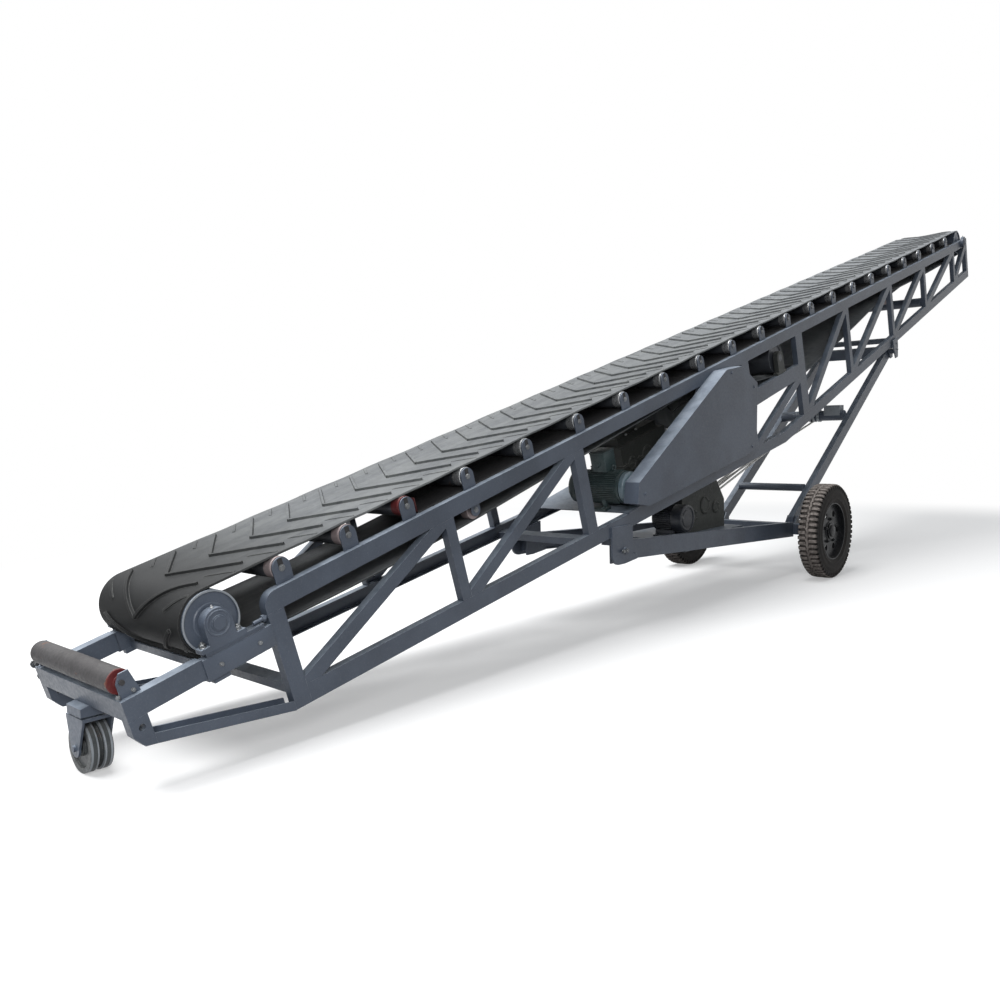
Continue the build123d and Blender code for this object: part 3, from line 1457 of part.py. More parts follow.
def caster_wheel():
    """Twin-tread wheel on the fork's bolt."""
    half = CASTER_WIDTH / 2
    tread = CASTER_TREAD_WIDTH
    web = CASTER_WEB_INSET
    outline = [
        (CASTER_BOLT + PIN_GAP, -half),
        (CASTER_HUB_RADIUS, -half),
        (CASTER_HUB_RADIUS, -half + web),
        (CASTER_CORE_RADIUS, -half + web),
        (CASTER_CORE_RADIUS, -half),
        (CASTER_RADIUS, -half),
        (CASTER_RADIUS, -half + tread),
        (CASTER_CORE_RADIUS, -half + tread),
        (CASTER_CORE_RADIUS, half - tread),
        (CASTER_RADIUS, half - tread),
        (CASTER_RADIUS, half),
        (CASTER_CORE_RADIUS, half),
        (CASTER_CORE_RADIUS, half - web),
        (CASTER_HUB_RADIUS, half - web),
        (CASTER_HUB_RADIUS, half),
        (CASTER_BOLT + PIN_GAP, half),
    ]
    points = [(CASTER_WHEEL_X + across, CASTER_TRAIL + radius) for radius, across in outline]
    face = Plane.XY.offset(CASTER_RADIUS) * Polygon(*points, align=None)
    return [revolve(face, axis=Axis((0, CASTER_TRAIL, CASTER_RADIUS), (1, 0, 0)))]


def all_pieces():
    """Every node's solids in ground coordinates."""
    boom = {
        "top_chords": top_chords(),
        "bottom_chords_tail": bottom_chords_tail(),
        "bottom_chords_head": bottom_chords_head(),
        "end_posts": end_posts(),
        "web_verticals": web_verticals(),
        "web_diagonals": web_diagonals(),
        "cross_ties": cross_ties(),
        "tail_arms": tail_arms(),
        "tail_beam": tail_beam(),
        "takeup_housings": takeup_housings(),
        "corner_posts": corner_posts(),
        "tail_braces": tail_braces(),
        "belt": belt(),
        "idler_rollers": idler_rollers(),
        "idler_stands": idler_stands(),
        "return_rollers": return_rollers(),
        "return_stands": return_stands(),
        "tail_drum": tail_drum(),
        "head_drum": head_drum(),
        "drive_drum": drive_drum(),
        "bend_drums": bend_drums(),
        "tail_bearings": tail_bearings(),
        "head_bearings": head_bearings(),
        "inner_bearings": inner_bearings(),
        "drive_subbeams": subbeams(),
        "tail_scraper": scraper(),
        "loading_stands": loading_stands(),
        "loading_roller": loading_roller(),
        "drive_motor": drive_motor(),
        "motor_plate": motor_plate(),
        "gearbox": gearbox(),
        "drive_guard": drive_guard(),
        "slider": slider(),
    }
    pieces = {name: on_boom(solids) for name, solids in boom.items()}
    pieces.update(
        {
            "hinge_ears": hinge_ears(),
            "legs": legs(),
            "leg_ties": leg_ties(),
            "axle": axle(),
            "winch_plate": winch_plate(),
            "winch_motor": winch_motor(),
            "winch_gearbox": winch_gearbox(),
            "rope_drum": rope_drum(),
            "rope_stands": rope_stands(),
            "tyre_near": tyre(-1),
            "tyre_far": tyre(1),
            "rim_near": rim(-1),
            "rim_far": rim(1),
            "struts": struts(),
            "strut_bars": strut_bars(),
            "rope_block": rope_block(),
            "caster_box": caster_box(),
            "caster_fork": caster_fork(),
            "caster_wheel": caster_wheel(),
        }
    )
    return pieces


def row_shift(pieces):
    """Shift that puts the origin under the middle of the whole."""
    box = Compound([solid for solids in pieces.values() for solid in solids_of(solids)]).bounding_box()
    return (-(box.min.X + box.max.X) / 2, -(box.min.Y + box.max.Y) / 2, -box.min.Z)


def main():
    pieces = all_pieces()
    shift = Pos(*row_shift(pieces))
    os.makedirs("parts", exist_ok=True)
    for name, solids in pieces.items():
        export_step(shift * Compound(solids_of(solids)), f"parts/{name}.step")


if __name__ == "__main__":
    main()
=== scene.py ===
import json
import math

import bmesh
import bpy
from mathutils import Matrix, Vector

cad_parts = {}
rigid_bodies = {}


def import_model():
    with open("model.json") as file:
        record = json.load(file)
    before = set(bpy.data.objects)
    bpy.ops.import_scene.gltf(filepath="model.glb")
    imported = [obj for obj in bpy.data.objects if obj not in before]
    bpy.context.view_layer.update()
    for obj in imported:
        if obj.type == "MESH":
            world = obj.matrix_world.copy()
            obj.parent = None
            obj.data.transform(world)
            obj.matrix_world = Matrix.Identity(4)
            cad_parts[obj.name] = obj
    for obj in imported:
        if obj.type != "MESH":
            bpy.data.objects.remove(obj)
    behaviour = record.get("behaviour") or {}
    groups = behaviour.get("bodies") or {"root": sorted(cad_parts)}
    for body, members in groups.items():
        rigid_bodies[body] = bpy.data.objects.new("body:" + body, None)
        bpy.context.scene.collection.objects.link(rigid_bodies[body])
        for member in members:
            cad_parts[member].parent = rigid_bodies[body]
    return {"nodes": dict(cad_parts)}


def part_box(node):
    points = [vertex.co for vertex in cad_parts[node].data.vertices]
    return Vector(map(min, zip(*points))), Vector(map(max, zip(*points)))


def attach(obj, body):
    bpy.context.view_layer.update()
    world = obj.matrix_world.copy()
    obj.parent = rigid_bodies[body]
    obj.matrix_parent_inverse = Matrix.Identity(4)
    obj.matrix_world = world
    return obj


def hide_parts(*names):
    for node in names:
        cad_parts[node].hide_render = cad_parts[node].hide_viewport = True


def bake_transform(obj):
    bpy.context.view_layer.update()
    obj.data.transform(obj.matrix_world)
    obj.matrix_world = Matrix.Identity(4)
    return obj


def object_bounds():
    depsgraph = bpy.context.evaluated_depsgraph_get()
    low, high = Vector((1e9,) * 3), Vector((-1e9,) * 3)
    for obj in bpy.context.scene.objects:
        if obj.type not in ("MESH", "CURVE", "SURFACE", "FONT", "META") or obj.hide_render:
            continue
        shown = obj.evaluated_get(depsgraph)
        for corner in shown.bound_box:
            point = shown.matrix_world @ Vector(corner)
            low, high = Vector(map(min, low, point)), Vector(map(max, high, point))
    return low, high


# The looks of a mobile belt conveyor. Lengths are written in millimetres and turned into metres
# by boom() and ground(). "s" runs along the boom, "n" stands square off it, y is across.

for leftover in list(bpy.data.objects):
    bpy.data.objects.remove(leftover)
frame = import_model()
cad_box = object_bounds()

MM = 0.001
SLOPE = math.radians(15.45)
BOOM_HEIGHT = 610.0
WHEEL_PLACE = 4750.0
ALONG = Vector((math.cos(SLOPE), 0, math.sin(SLOPE)))
OUT = Vector((-math.sin(SLOPE), 0, math.cos(SLOPE)))
ACROSS = Vector((0, 1, 0))
FORWARD = Vector((1, 0, 0))
UP = Vector((0, 0, 1))
SIDES = (-1, 1)


def middle(node):
    """The middle of a node's box."""
    low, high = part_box(node)
    return (low + high) / 2


ROW_SHIFT = middle("tyre_near").x - WHEEL_PLACE * MM


def ground(x, y, z):
    """A point given from the ground below the boom's tail."""
    return Vector((x * MM + ROW_SHIFT, y * MM, z * MM))


def boom(s, y, n):
    """A point given along, across and square off the boom's line."""
    x = s * ALONG.x + n * OUT.x
    z = BOOM_HEIGHT + s * ALONG.z + n * OUT.z
    return ground(x, y, z)


# Materials

class Graph:
    """Short calls for the nodes of one material."""

    def __init__(self, name):
        self.material = bpy.data.materials.new(name)
        self.material.use_nodes = True
        self.tree = self.material.node_tree
        self.tree.nodes.clear()
        self.place = self.add("ShaderNodeTexCoord").outputs["Object"]

    def add(self, kind, **settings):
        node = self.tree.nodes.new(kind)
        for key, value in settings.items():
            setattr(node, key, value)
        return node

    def feed(self, socket, value):
        if isinstance(value, bpy.types.NodeSocket):
            self.tree.links.new(value, socket)
        else:
            socket.default_value = value

    def stretched(self, scale, turn=0.0):
        """The coordinates, turned about y and scaled."""
        node = self.add("ShaderNodeMapping")
        self.feed(node.inputs["Vector"], self.place)
        node.inputs["Rotation"].default_value = (0, turn, 0)
        node.inputs["Scale"].default_value = scale
        return node.outputs["Vector"]

    def noise(self, scale, detail=5.0, place=None, rough=0.55):
        node = self.add("ShaderNodeTexNoise")
        self.feed(node.inputs["Vector"], place or self.place)
        node.inputs["Scale"].default_value = scale
        node.inputs["Detail"].default_value = detail
        node.inputs["Roughness"].default_value = rough
        return node.outputs["Fac"]

    def math(self, operation, a, b=0.0):
        node = self.add("ShaderNodeMath", operation=operation)
        self.feed(node.inputs[0], a)
        self.feed(node.inputs[1], b)
        return node.outputs["Value"]

    def step(self, value, low, high, floor=0.0, top=1.0):
        """A smooth step of the value from low to high."""
        node = self.add("ShaderNodeMapRange", interpolation_type="SMOOTHSTEP")
        self.feed(node.inputs["Value"], value)
        node.inputs["From Min"].default_value = low
        node.inputs["From Max"].default_value = high
        node.inputs["To Min"].default_value = floor
        node.inputs["To Max"].default_value = top
        return node.outputs["Result"]

    def mix(self, share, a, b):
        node = self.add("ShaderNodeMix", data_type="RGBA")
        self.feed(node.inputs["Factor"], share)
        for socket, value in ((node.inputs[6], a), (node.inputs[7], b)):
            if not isinstance(value, bpy.types.NodeSocket):
                value = (*value, 1.0)
            self.feed(socket, value)
        return node.outputs[2]

    def facing_up(self):
        node = self.add("ShaderNodeSeparateXYZ")
        self.feed(node.inputs[0], self.add("ShaderNodeNewGeometry").outputs["Normal"])
        return node.outputs["Z"]

    def rounded(self, radius):
        """The normal of edges rounded to the radius, in metres."""
        node = self.add("ShaderNodeBevel", samples=4)
        node.inputs["Radius"].default_value = radius
        return node.outputs["Normal"]

    def edges(self, normal):
        """How far the rounded normal leans off the true one: 0 on a flat, more at an edge."""
        node = self.add("ShaderNodeVectorMath", operation="DOT_PRODUCT")
        self.feed(node.inputs[0], normal)
        self.feed(node.inputs[1], self.add("ShaderNodeNewGeometry").outputs["Normal"])
        return self.math("SUBTRACT", 1.0, node.outputs["Value"])

    def finish(self, colour, rough, height, depth, normal=None, metal=0.0, gloss=0.5):
        bump = self.add("ShaderNodeBump")
        bump.inputs["Distance"].default_value = depth
        self.feed(bump.inputs["Height"], height)
        if normal:
            self.feed(bump.inputs["Normal"], normal)
        shader = self.add("ShaderNodeBsdfPrincipled")
        self.feed(shader.inputs["Base Color"], colour)
        self.feed(shader.inputs["Roughness"], rough)
        self.feed(shader.inputs["Normal"], bump.outputs["Normal"])
        shader.inputs["Metallic"].default_value = metal
        shader.inputs["Specular IOR Level"].default_value = gloss
        output = self.add("ShaderNodeOutputMaterial")
        self.tree.links.new(shader.outputs[0], output.inputs["Surface"])
        return self.material


DUST = (0.30, 0.29, 0.27)
RUST = (0.20, 0.085, 0.045)


def coated(name, colour, shade, worn, rough=0.42, dust=0.25, rust=0.2, wear=0.6, metal=0.0,
           grain=1.0, gloss=0.5, dust_and_top_light_colour=DUST, edge=0.0022):
    """Painted or bare metal: cloudy tone, dust on top faces (on the frame paint partly a painted top
    light), worn edges, rust spots.
    """
    g = Graph(name)
    fine = g.noise(70.0, 8.0)
    cloud = g.noise(2.3, 6.0)
    tone = g.mix(g.step(cloud, 0.34, 0.66), shade, colour)
    tone = g.mix(g.math("MULTIPLY", g.step(g.noise(150.0, 4.0), 0.5, 0.75), 0.08), tone, worn)
    streak = g.noise(9.0, 5.0, g.stretched((1.0, 1.0, 0.22)))
    tone = g.mix(g.math("MULTIPLY", g.step(streak, 0.5, 0.75), 0.28), tone, shade)
    # Up-facing faces blend towards the top colour: dust, and on the frame paint a lighter slate that is
    # painted top light.
    on_top = g.step(g.facing_up(), 0.35, 0.97)
    patchy = g.step(g.noise(11.0, 7.0), 0.3, 0.7, 0.35, 1.0)
    dust_and_top_light = g.math("MULTIPLY", g.math("MULTIPLY", on_top, patchy), dust)
    tone = g.mix(dust_and_top_light, tone, dust_and_top_light_colour)
    spots = g.math("MULTIPLY", g.step(g.noise(17.0, 9.0, rough=0.7), 0.63, 0.7), rust)
    tone = g.mix(spots, tone, RUST)
    round_normal = g.rounded(edge)
    rubbed = g.step(g.edges(round_normal), 0.015, 0.12)
    rubbed = g.math("MULTIPLY", rubbed, g.step(g.noise(38.0, 6.0), 0.42, 0.62))
    tone = g.mix(g.math("MULTIPLY", rubbed, wear), tone, worn)
    gloss_map = g.math("ADD", g.step(fine, 0.25, 0.75, rough - 0.09, rough + 0.12),
                       g.math("MULTIPLY", dust_and_top_light, 0.35))
    height = g.math("ADD", fine, g.math("MULTIPLY", g.noise(340.0, 2.0), 0.45))
    return g.finish(tone, gloss_map, height, 0.00035 * grain, round_normal, metal, gloss)


def belting(name):
    """Dusty grey rubber, streaked along the belt."""
    g = Graph(name)
    run = g.stretched((0.5, 5.0, 1.0), SLOPE)
    streaks = g.noise(3.2, 7.0, run)
    tone = g.mix(g.step(streaks, 0.36, 0.64), (0.042, 0.046, 0.048), (0.085, 0.09, 0.088))
    powder = g.noise(24.0, 9.0, rough=0.7)
    on_top = g.step(g.facing_up(), -0.2, 0.9, 0.25, 1.0)
    along = g.add("ShaderNodeSeparateXYZ")
    g.feed(along.inputs[0], g.place)
    # The belt goes near black at its tail end and takes more powder towards the head; this follows the
    # place along the boom only.
    toward_head = g.step(along.outputs["X"], -4.75, -3.7)
    tone = g.mix(toward_head, (0.009, 0.0095, 0.010), tone)
    toward_head = g.math("MULTIPLY", g.math("ADD", toward_head, 0.06), g.step(along.outputs["X"], -2.6, 4.6, 0.28, 0.82))
    powder = g.math("MULTIPLY", g.step(powder, 0.30, 0.70, 0.62, 1.0), g.math("MULTIPLY", on_top, toward_head))
    tone = g.mix(g.math("MULTIPLY", powder, 0.9), tone, (0.42, 0.435, 0.455))
    scuff = g.step(g.noise(46.0, 4.0, run), 0.6, 0.72)
    tone = g.mix(g.math("MULTIPLY", scuff, 0.3), tone, (0.035, 0.037, 0.04))
    round_normal = g.rounded(0.003)
    rubbed = g.step(g.edges(round_normal), 0.01, 0.1)
    tone = g.mix(g.math("MULTIPLY", rubbed, 0.35), tone, (0.24, 0.245, 0.235))
    height = g.math("ADD", g.noise(120.0, 6.0), g.noise(420.0, 2.0))
    rough = g.step(powder, 0.0, 0.6, 0.62, 0.9)
    return g.finish(tone, rough, height, 0.0005, round_normal, gloss=0.15)


def tyre_rubber(name, centre):
    """Black-brown rubber whose tread has picked up tan dust."""
    g = Graph(name)
    parts = g.add("ShaderNodeSeparateXYZ")
    g.feed(parts.inputs[0], g.place)
    dx = g.math("SUBTRACT", parts.outputs["X"], centre.x)
    dz = g.math("SUBTRACT", parts.outputs["Z"], centre.z)
    square = g.math("ADD", g.math("MULTIPLY", dx, dx), g.math("MULTIPLY", dz, dz))
    radius = g.math("SQRT", square)
    tread = g.step(radius, 0.338, 0.354)
    dirt = g.step(g.noise(34.0, 8.0, rough=0.65), 0.3, 0.66, 0.35, 1.0)
    tone = g.mix(g.step(g.noise(6.0, 6.0), 0.35, 0.65), (0.010, 0.0095, 0.009), (0.018, 0.016, 0.015))
    film = g.step(g.noise(13.0, 8.0), 0.45, 0.75)
    tone = g.mix(g.math("MULTIPLY", film, 0.07), tone, (0.16, 0.13, 0.11))
    tone = g.mix(g.math("MULTIPLY", tread, dirt), tone, (0.36, 0.32, 0.295))
    round_normal = g.rounded(0.002)
    height = g.math("ADD", g.noise(90.0, 6.0), g.noise(300.0, 2.0))
    rough = g.step(tread, 0.0, 1.0, 0.66, 0.92)
    return g.finish(tone, rough, height, 0.0006, round_normal, gloss=0.12)


def wire_rope(name):
    """Bright strands that wind along the rope."""
    g = Graph(name)
    wave = g.add("ShaderNodeTexWave", bands_direction="DIAGONAL")
    g.feed(wave.inputs["Vector"], g.place)
    wave.inputs["Scale"].default_value = 62.0
    wave.inputs["Distortion"].default_value = 0.6
    strands = wave.outputs["Fac"]
    tone = g.mix(g.step(strands, 0.1, 0.6), (0.20, 0.20, 0.19), (0.80, 0.80, 0.77))
    grease = g.step(g.noise(22.0, 5.0), 0.55, 0.75)
    tone = g.mix(g.math("MULTIPLY", grease, 0.6), tone, (0.07, 0.065, 0.06))
    return g.finish(tone, g.step(strands, 0.0, 1.0, 0.5, 0.3), strands, 0.001, metal=0.6)


SLATE = (0.092, 0.112, 0.148)
SLATE_SHADE = (0.062, 0.076, 0.102)
SLATE_WORN = (0.33, 0.36, 0.41)
# The frame paint's top colour is a lighter slate: painted light on its up-facing faces, mixed with dust.
PAINT = coated("frame_paint_coat", SLATE, SLATE_SHADE, SLATE_WORN, rough=0.38, dust=0.6, rust=0.10,
               wear=0.6, gloss=0.35, dust_and_top_light_colour=(0.34, 0.39, 0.45))
ROLLER = coated("roller_steel_coat", (0.085, 0.092, 0.105), (0.045, 0.05, 0.06), (0.4, 0.41, 0.42),
                rough=0.38, dust=0.3, rust=0.3, wear=0.8, metal=0.3, gloss=0.3)
CAST = coated("dark_cast_coat", (0.050, 0.054, 0.050), (0.030, 0.033, 0.032), (0.2, 0.2, 0.19),
              rough=0.55, dust=0.3, rust=0.25, wear=0.45, grain=3.0, gloss=0.3)
ENAMEL = coated("motor_enamel", (0.052, 0.078, 0.080), (0.03, 0.046, 0.05), (0.27, 0.33, 0.34),
                rough=0.34, dust=0.3, rust=0.1, wear=0.6, grain=1.5, gloss=0.3)
BELL = coated("bell_enamel", (0.16, 0.22, 0.26), (0.10, 0.145, 0.175), (0.42, 0.47, 0.5),
              rough=0.3, dust=0.2, rust=0.05, wear=0.5)
RIM = coated("rim_enamel", (0.011, 0.012, 0.014), (0.007, 0.008, 0.009), (0.08, 0.08, 0.08),
             rough=0.32, dust=0.18, rust=0.08, wear=0.3, gloss=0.18, dust_and_top_light_colour=(0.10, 0.095, 0.085))
CASTER = coated("caster_steel_coat", (0.075, 0.082, 0.085), (0.036, 0.04, 0.043), (0.42, 0.42, 0.40),
                rough=0.42, dust=0.3, rust=0.4, wear=0.8, metal=0.2, gloss=0.35)
WORN = coated("worn_steel_coat", (0.055, 0.053, 0.055), (0.022, 0.020, 0.022), (0.30, 0.29, 0.28),
              rough=0.55, dust=0.06, rust=0.8, wear=0.6, metal=0.1, gloss=0.3)
EDGE_STEEL = coated("drum_edge_steel", (0.30, 0.325, 0.35), (0.19, 0.21, 0.235), (0.55, 0.56, 0.57),
                    rough=0.36, dust=0.3, rust=0.25, wear=0.6, metal=0.3)
BRIGHT = coated("bright_steel", (0.50, 0.51, 0.52), (0.34, 0.35, 0.36), (0.72, 0.72, 0.71),
                rough=0.3, dust=0.15, rust=0.15, wear=0.5, metal=0.7)
PINKISH = coated("weathered_cap", (0.36, 0.30, 0.30), (0.24, 0.19, 0.19), (0.55, 0.5, 0.48),
                 rough=0.5, dust=0.3, rust=0.6, wear=0.5, metal=0.2)
REDDISH = coated("red_enamel", (0.16, 0.028, 0.028), (0.075, 0.016, 0.018), (0.3, 0.17, 0.15),
                 rough=0.45, dust=0.3, rust=0.35, wear=0.5, gloss=0.3)
FASTENER = coated("fastener_steel", (0.17, 0.18, 0.19), (0.09, 0.095, 0.10), (0.5, 0.5, 0.49),
                  rough=0.36, dust=0.2, rust=0.45, wear=0.8, metal=0.6)
# Near-black painted shade: used for the stand slots' openings and for the deck beneath the belt.
PAINTED_SHADE = coated("painted_shade_black", (0.012, 0.012, 0.013), (0.007, 0.007, 0.008), (0.05, 0.05, 0.05),
                rough=0.7, dust=0.0, rust=0.05, wear=0.2)
WINCH_ENAMEL = coated("winch_enamel", (0.030, 0.034, 0.042), (0.018, 0.021, 0.027), (0.20, 0.22, 0.25),
                      rough=0.34, dust=0.25, rust=0.1, wear=0.5, grain=1.5, gloss=0.3)
BELT = belting("belt_rubber_coat")
TYRE = tyre_rubber("tyre_rubber_coat", middle("tyre_near"))
ROPE = wire_rope("wire_rope")

SLOT_COATS = {
    "frame_paint": PAINT,
    "belt_rubber": BELT,
    "roller_steel": ROLLER,
    "dark_cast": CAST,
    "motor_green": ENAMEL,
    "rim_black": RIM,
    "tyre_rubber": TYRE,
    "caster_steel": CASTER,
    "worn_steel": WORN,
}
for node in frame["nodes"].values():
    for slot in node.material_slots:
        slot.material = SLOT_COATS[slot.material.name.split(".")[0]]
for slot in frame["nodes"]["rope_block"].material_slots:
    slot.material = EDGE_STEEL


# Mesh calls

SHARP = math.radians(32)


def piece(name, bm, body, coat):
    """Makes one piece of the mesh, smooth but for its sharp edges, and lets it ride on a body."""
    bmesh.ops.recalc_face_normals(bm, faces=bm.faces)
    for face in bm.faces:
        face.smooth = True
    for edge in bm.edges:
        if len(edge.link_faces) == 2 and edge.calc_face_angle(0.0) > SHARP:
            edge.smooth = False
    mesh = bpy.data.meshes.new(name)
    bm.to_mesh(mesh)
    bm.free()
    mesh.materials.append(coat)
    made = bpy.data.objects.new(name, mesh)
    bpy.context.scene.collection.objects.link(made)
    if body:
        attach(made, body)
    return made


def across_frame(axis):
    """Two directions square to the axis."""
    axis = axis.normalized()
    side = UP if abs(axis.z) < 0.9 else FORWARD
    first = axis.cross(side).normalized()
    return first, axis.cross(first).normalized()


def lathe(bm, centre, axis, profile, steps=32, closed=False):
    """Turns (radius, height) points, in mm, about the axis. A zero radius closes an end."""
    first, second = across_frame(axis)
    axis = axis.normalized()
    rings = []
    for radius, height in profile:
        base = centre + axis * height * MM
        if radius < 1e-6:
            rings.append([bm.verts.new(base)])
            continue
        ring = []
        for i in range(steps):
            angle = 2 * math.pi * i / steps
            spoke = first * math.cos(angle) + second * math.sin(angle)
            ring.append(bm.verts.new(base + spoke * radius * MM))
        rings.append(ring)
    if closed:
        rings.append(rings[0])
    for low, high in zip(rings, rings[1:]):
        for i in range(steps):
            j = (i + 1) % steps
            if len(low) == 1:
                bm.faces.new((low[0], high[j], high[i]))
            elif len(high) == 1:
                bm.faces.new((low[i], low[j], high[0]))
            else:
                bm.faces.new((low[i], low[j], high[j], high[i]))


def prism(bm, outline, depth):
    """A slab: an outline of points, carried by the depth vector."""
    low = [bm.verts.new(p) for p in outline]
    high = [bm.verts.new(p + depth) for p in outline]
    bm.faces.new(low)
    bm.faces.new(high[::-1])
    for i in range(len(low)):
        j = (i + 1) % len(low)
        bm.faces.new((low[i], low[j], high[j], high[i]))


def block(bm, centre, axes, sizes, bevel=2.0):
    """A block with broken edges: three directions and three sizes in mm."""
    corners = []
    for signs in ((-1, -1), (1, -1), (1, 1), (-1, 1)):
        corner = centre - axes[2] * sizes[2] * MM / 2
        corner = corner + axes[0] * signs[0] * sizes[0] * MM / 2
        corners.append(corner + axes[1] * signs[1] * sizes[1] * MM / 2)
    before = set(bm.edges)
    prism(bm, corners, axes[2] * sizes[2] * MM)
    fresh = [edge for edge in bm.edges if edge not in before]
    bmesh.ops.bevel(bm, geom=fresh, offset=bevel * MM, segments=2, affect="EDGES", profile=0.5)


def tube(bm, points, radius, sides=10):
    """A round tube through the points."""
    rings = []
    for i, point in enumerate(points):
        way = points[min(i + 1, len(points) - 1)] - points[max(i - 1, 0)]
        first, second = across_frame(way)
        ring = []
        for k in range(sides):
            angle = 2 * math.pi * k / sides
            spoke = first * math.cos(angle) + second * math.sin(angle)
            ring.append(bm.verts.new(point + spoke * radius * MM))
        rings.append(ring)
    for low, high in zip(rings, rings[1:]):
        for k in range(sides):
            j = (k + 1) % sides
            bm.faces.new((low[k], low[j], high[j], high[k]))
    bm.faces.new(rings[0][::-1])
    bm.faces.new(rings[-1])


def bolt(bm, place, axis, across=19.0, height=8.0):
    """A hexagon head on a washer, standing along the axis."""
    washer = 1.15 * across / 2
    lathe(bm, place, axis, [(0, 0), (washer, 0), (washer, 2), (0, 2)], 20)
    corner = across / math.sqrt(3)
    head = [(corner, 2), (corner, height), (corner * 0.8, height + 2), (0, height + 2.4)]
    lathe(bm, place, axis, head, 6)


def nut(bm, place, axis, across=24.0, height=12.0):
    """A nut on a washer, with its thread end showing."""
    bolt(bm, place, axis, across, height)
    lathe(bm, place + axis.normalized() * height * MM, axis,
          [(across * 0.27, 0), (across * 0.27, 7), (across * 0.2, 9), (0, 9)], 14)


# The belt

BELT_HALF = 325.0
BELT_THICK = 10.0
BELT_BREAK = 3.0
CLEAT_HEIGHT = 12.0
CLEAT_FOOT = 8.0
CLEAT_CROWN = 5.5
CLEAT_ROOT = 9.5
CLEAT_PITCH = 196.0
CLEAT_START = 42.0
CLEAT_REACH = 262.0
CLEAT_SWEEP = 180.0
BAR_INNER = 205.0
BAR_OUTER = 309.0
BAR_SHIFT = 98.0
BAR_HEIGHT = 5.0
TAIL_DRUM = (-198.0, -13.5)
HEAD_DRUM = (9430.0, -20.0)
CARRY_ROLLER = (7091.9, -210.0)
PRESS_ROLLER = (1215.0, -112.0)
# Each round the belt passes: place, depth, radius of the belt's inner face there, and turn.
ROUNDS = [
    (*TAIL_DRUM, 116.3, 1),
    (*HEAD_DRUM, 122.8, 1),
    (*CARRY_ROLLER, 66.8, -1),
    (4985.0, -372.0, 50.3, 1),
    (3724.0, -320.0, 112.3, 1),
    (4600.0, -180.0, 134.3, -1),
    (*PRESS_ROLLER, 44.8, 1),
]
# How far each run sags at its middle, in the same order.
SAGS = [0.0, 16.0, 14.0, 0.0, 0.0, 6.0, 14.0]
LOADING_IDLERS = [130.0, 470.0, 810.0]
IDLER_START = 1210.0
IDLER_PITCH = 455.0
IDLER_COUNT = 18
IDLERS = LOADING_IDLERS + [IDLER_START + IDLER_PITCH * i for i in range(IDLER_COUNT)]
IDLER_HEIGHT = 58.0
IDLER_RADIUS = 44.5
IDLER_SAG = 3.0
RUN_STEP = 60.0
ARC_STEP = math.radians(6)


def turned(angle):
    return Vector((-math.sin(angle), math.cos(angle)))


def belt_line():
    """The belt's inner face as (distance, point, outward normal), once round its rounds."""
    headings = []
    for (s0, n0, r0, t0), (s1, n1, r1, t1) in zip(ROUNDS, ROUNDS[1:] + ROUNDS[:1]):
        gap = math.hypot(s1 - s0, n1 - n0)
        lean = math.asin((r0 * t0 - r1 * t1) / gap)
        headings.append(math.atan2(n1 - n0, s1 - s0) - lean)
    line = []
    for k, (s0, n0, r0, t0) in enumerate(ROUNDS):
        s1, n1, r1, t1 = ROUNDS[(k + 1) % len(ROUNDS)]
        normal = turned(headings[k])
        start = Vector((s0, n0)) + normal * r0 * t0
        end = Vector((s1, n1)) + normal * r1 * t1
        count = max(2, round((end - start).length / RUN_STEP))
        for i in range(count):
            share = i / count
            point = start.lerp(end, share)
            if k:
                point = point + normal * SAGS[k] * 4 * share * (1 - share)
            else:
                point = point - normal * idler_sag(point.x)
            line.append((point, normal))
        swing = (headings[(k + 1) % len(ROUNDS)] - headings[k]) * -t1 % (2 * math.pi)
        count = max(2, round(swing / ARC_STEP))
        for i in range(count):
            normal = turned(headings[k] - t1 * swing * i / count)
            line.append((Vector((s1, n1)) + normal * r1 * t1, normal))
    distances = [0.0]
    for (a, _), (b, _) in zip(line, line[1:] + line[:1]):
        distances.append(distances[-1] + (b - a).length)
    return line, distances


def idler_sag(s):
    """The small sag of the carrying run between its idlers."""
    for low, high in zip(IDLERS, IDLERS[1:]):
        if low <= s <= high:
            return IDLER_SAG * math.sin(math.pi * (s - low) / (high - low)) ** 2
    return 0.0


LINE, DISTANCES = belt_line()
BELT_ROUND = DISTANCES[-1]


def on_belt(u, y, height):
    """A point the distance u along the belt, y across it and a height off its inner face."""
    u %= BELT_ROUND
    low, high = 0, len(LINE)
    while high - low > 1:
        half = (low + high) // 2
        if DISTANCES[half] <= u:
            low = half
        else:
            high = half
    share = (u - DISTANCES[low]) / (DISTANCES[low + 1] - DISTANCES[low])
    (p0, n0), (p1, n1) = LINE[low], LINE[(low + 1) % len(LINE)]
    normal = n0.lerp(n1, share).normalized()
    point = p0.lerp(p1, share) + normal * height
    placed = boom(point.x, y, point.y)
    placed.z = min(placed.z, cad_box[1][2])
    return placed


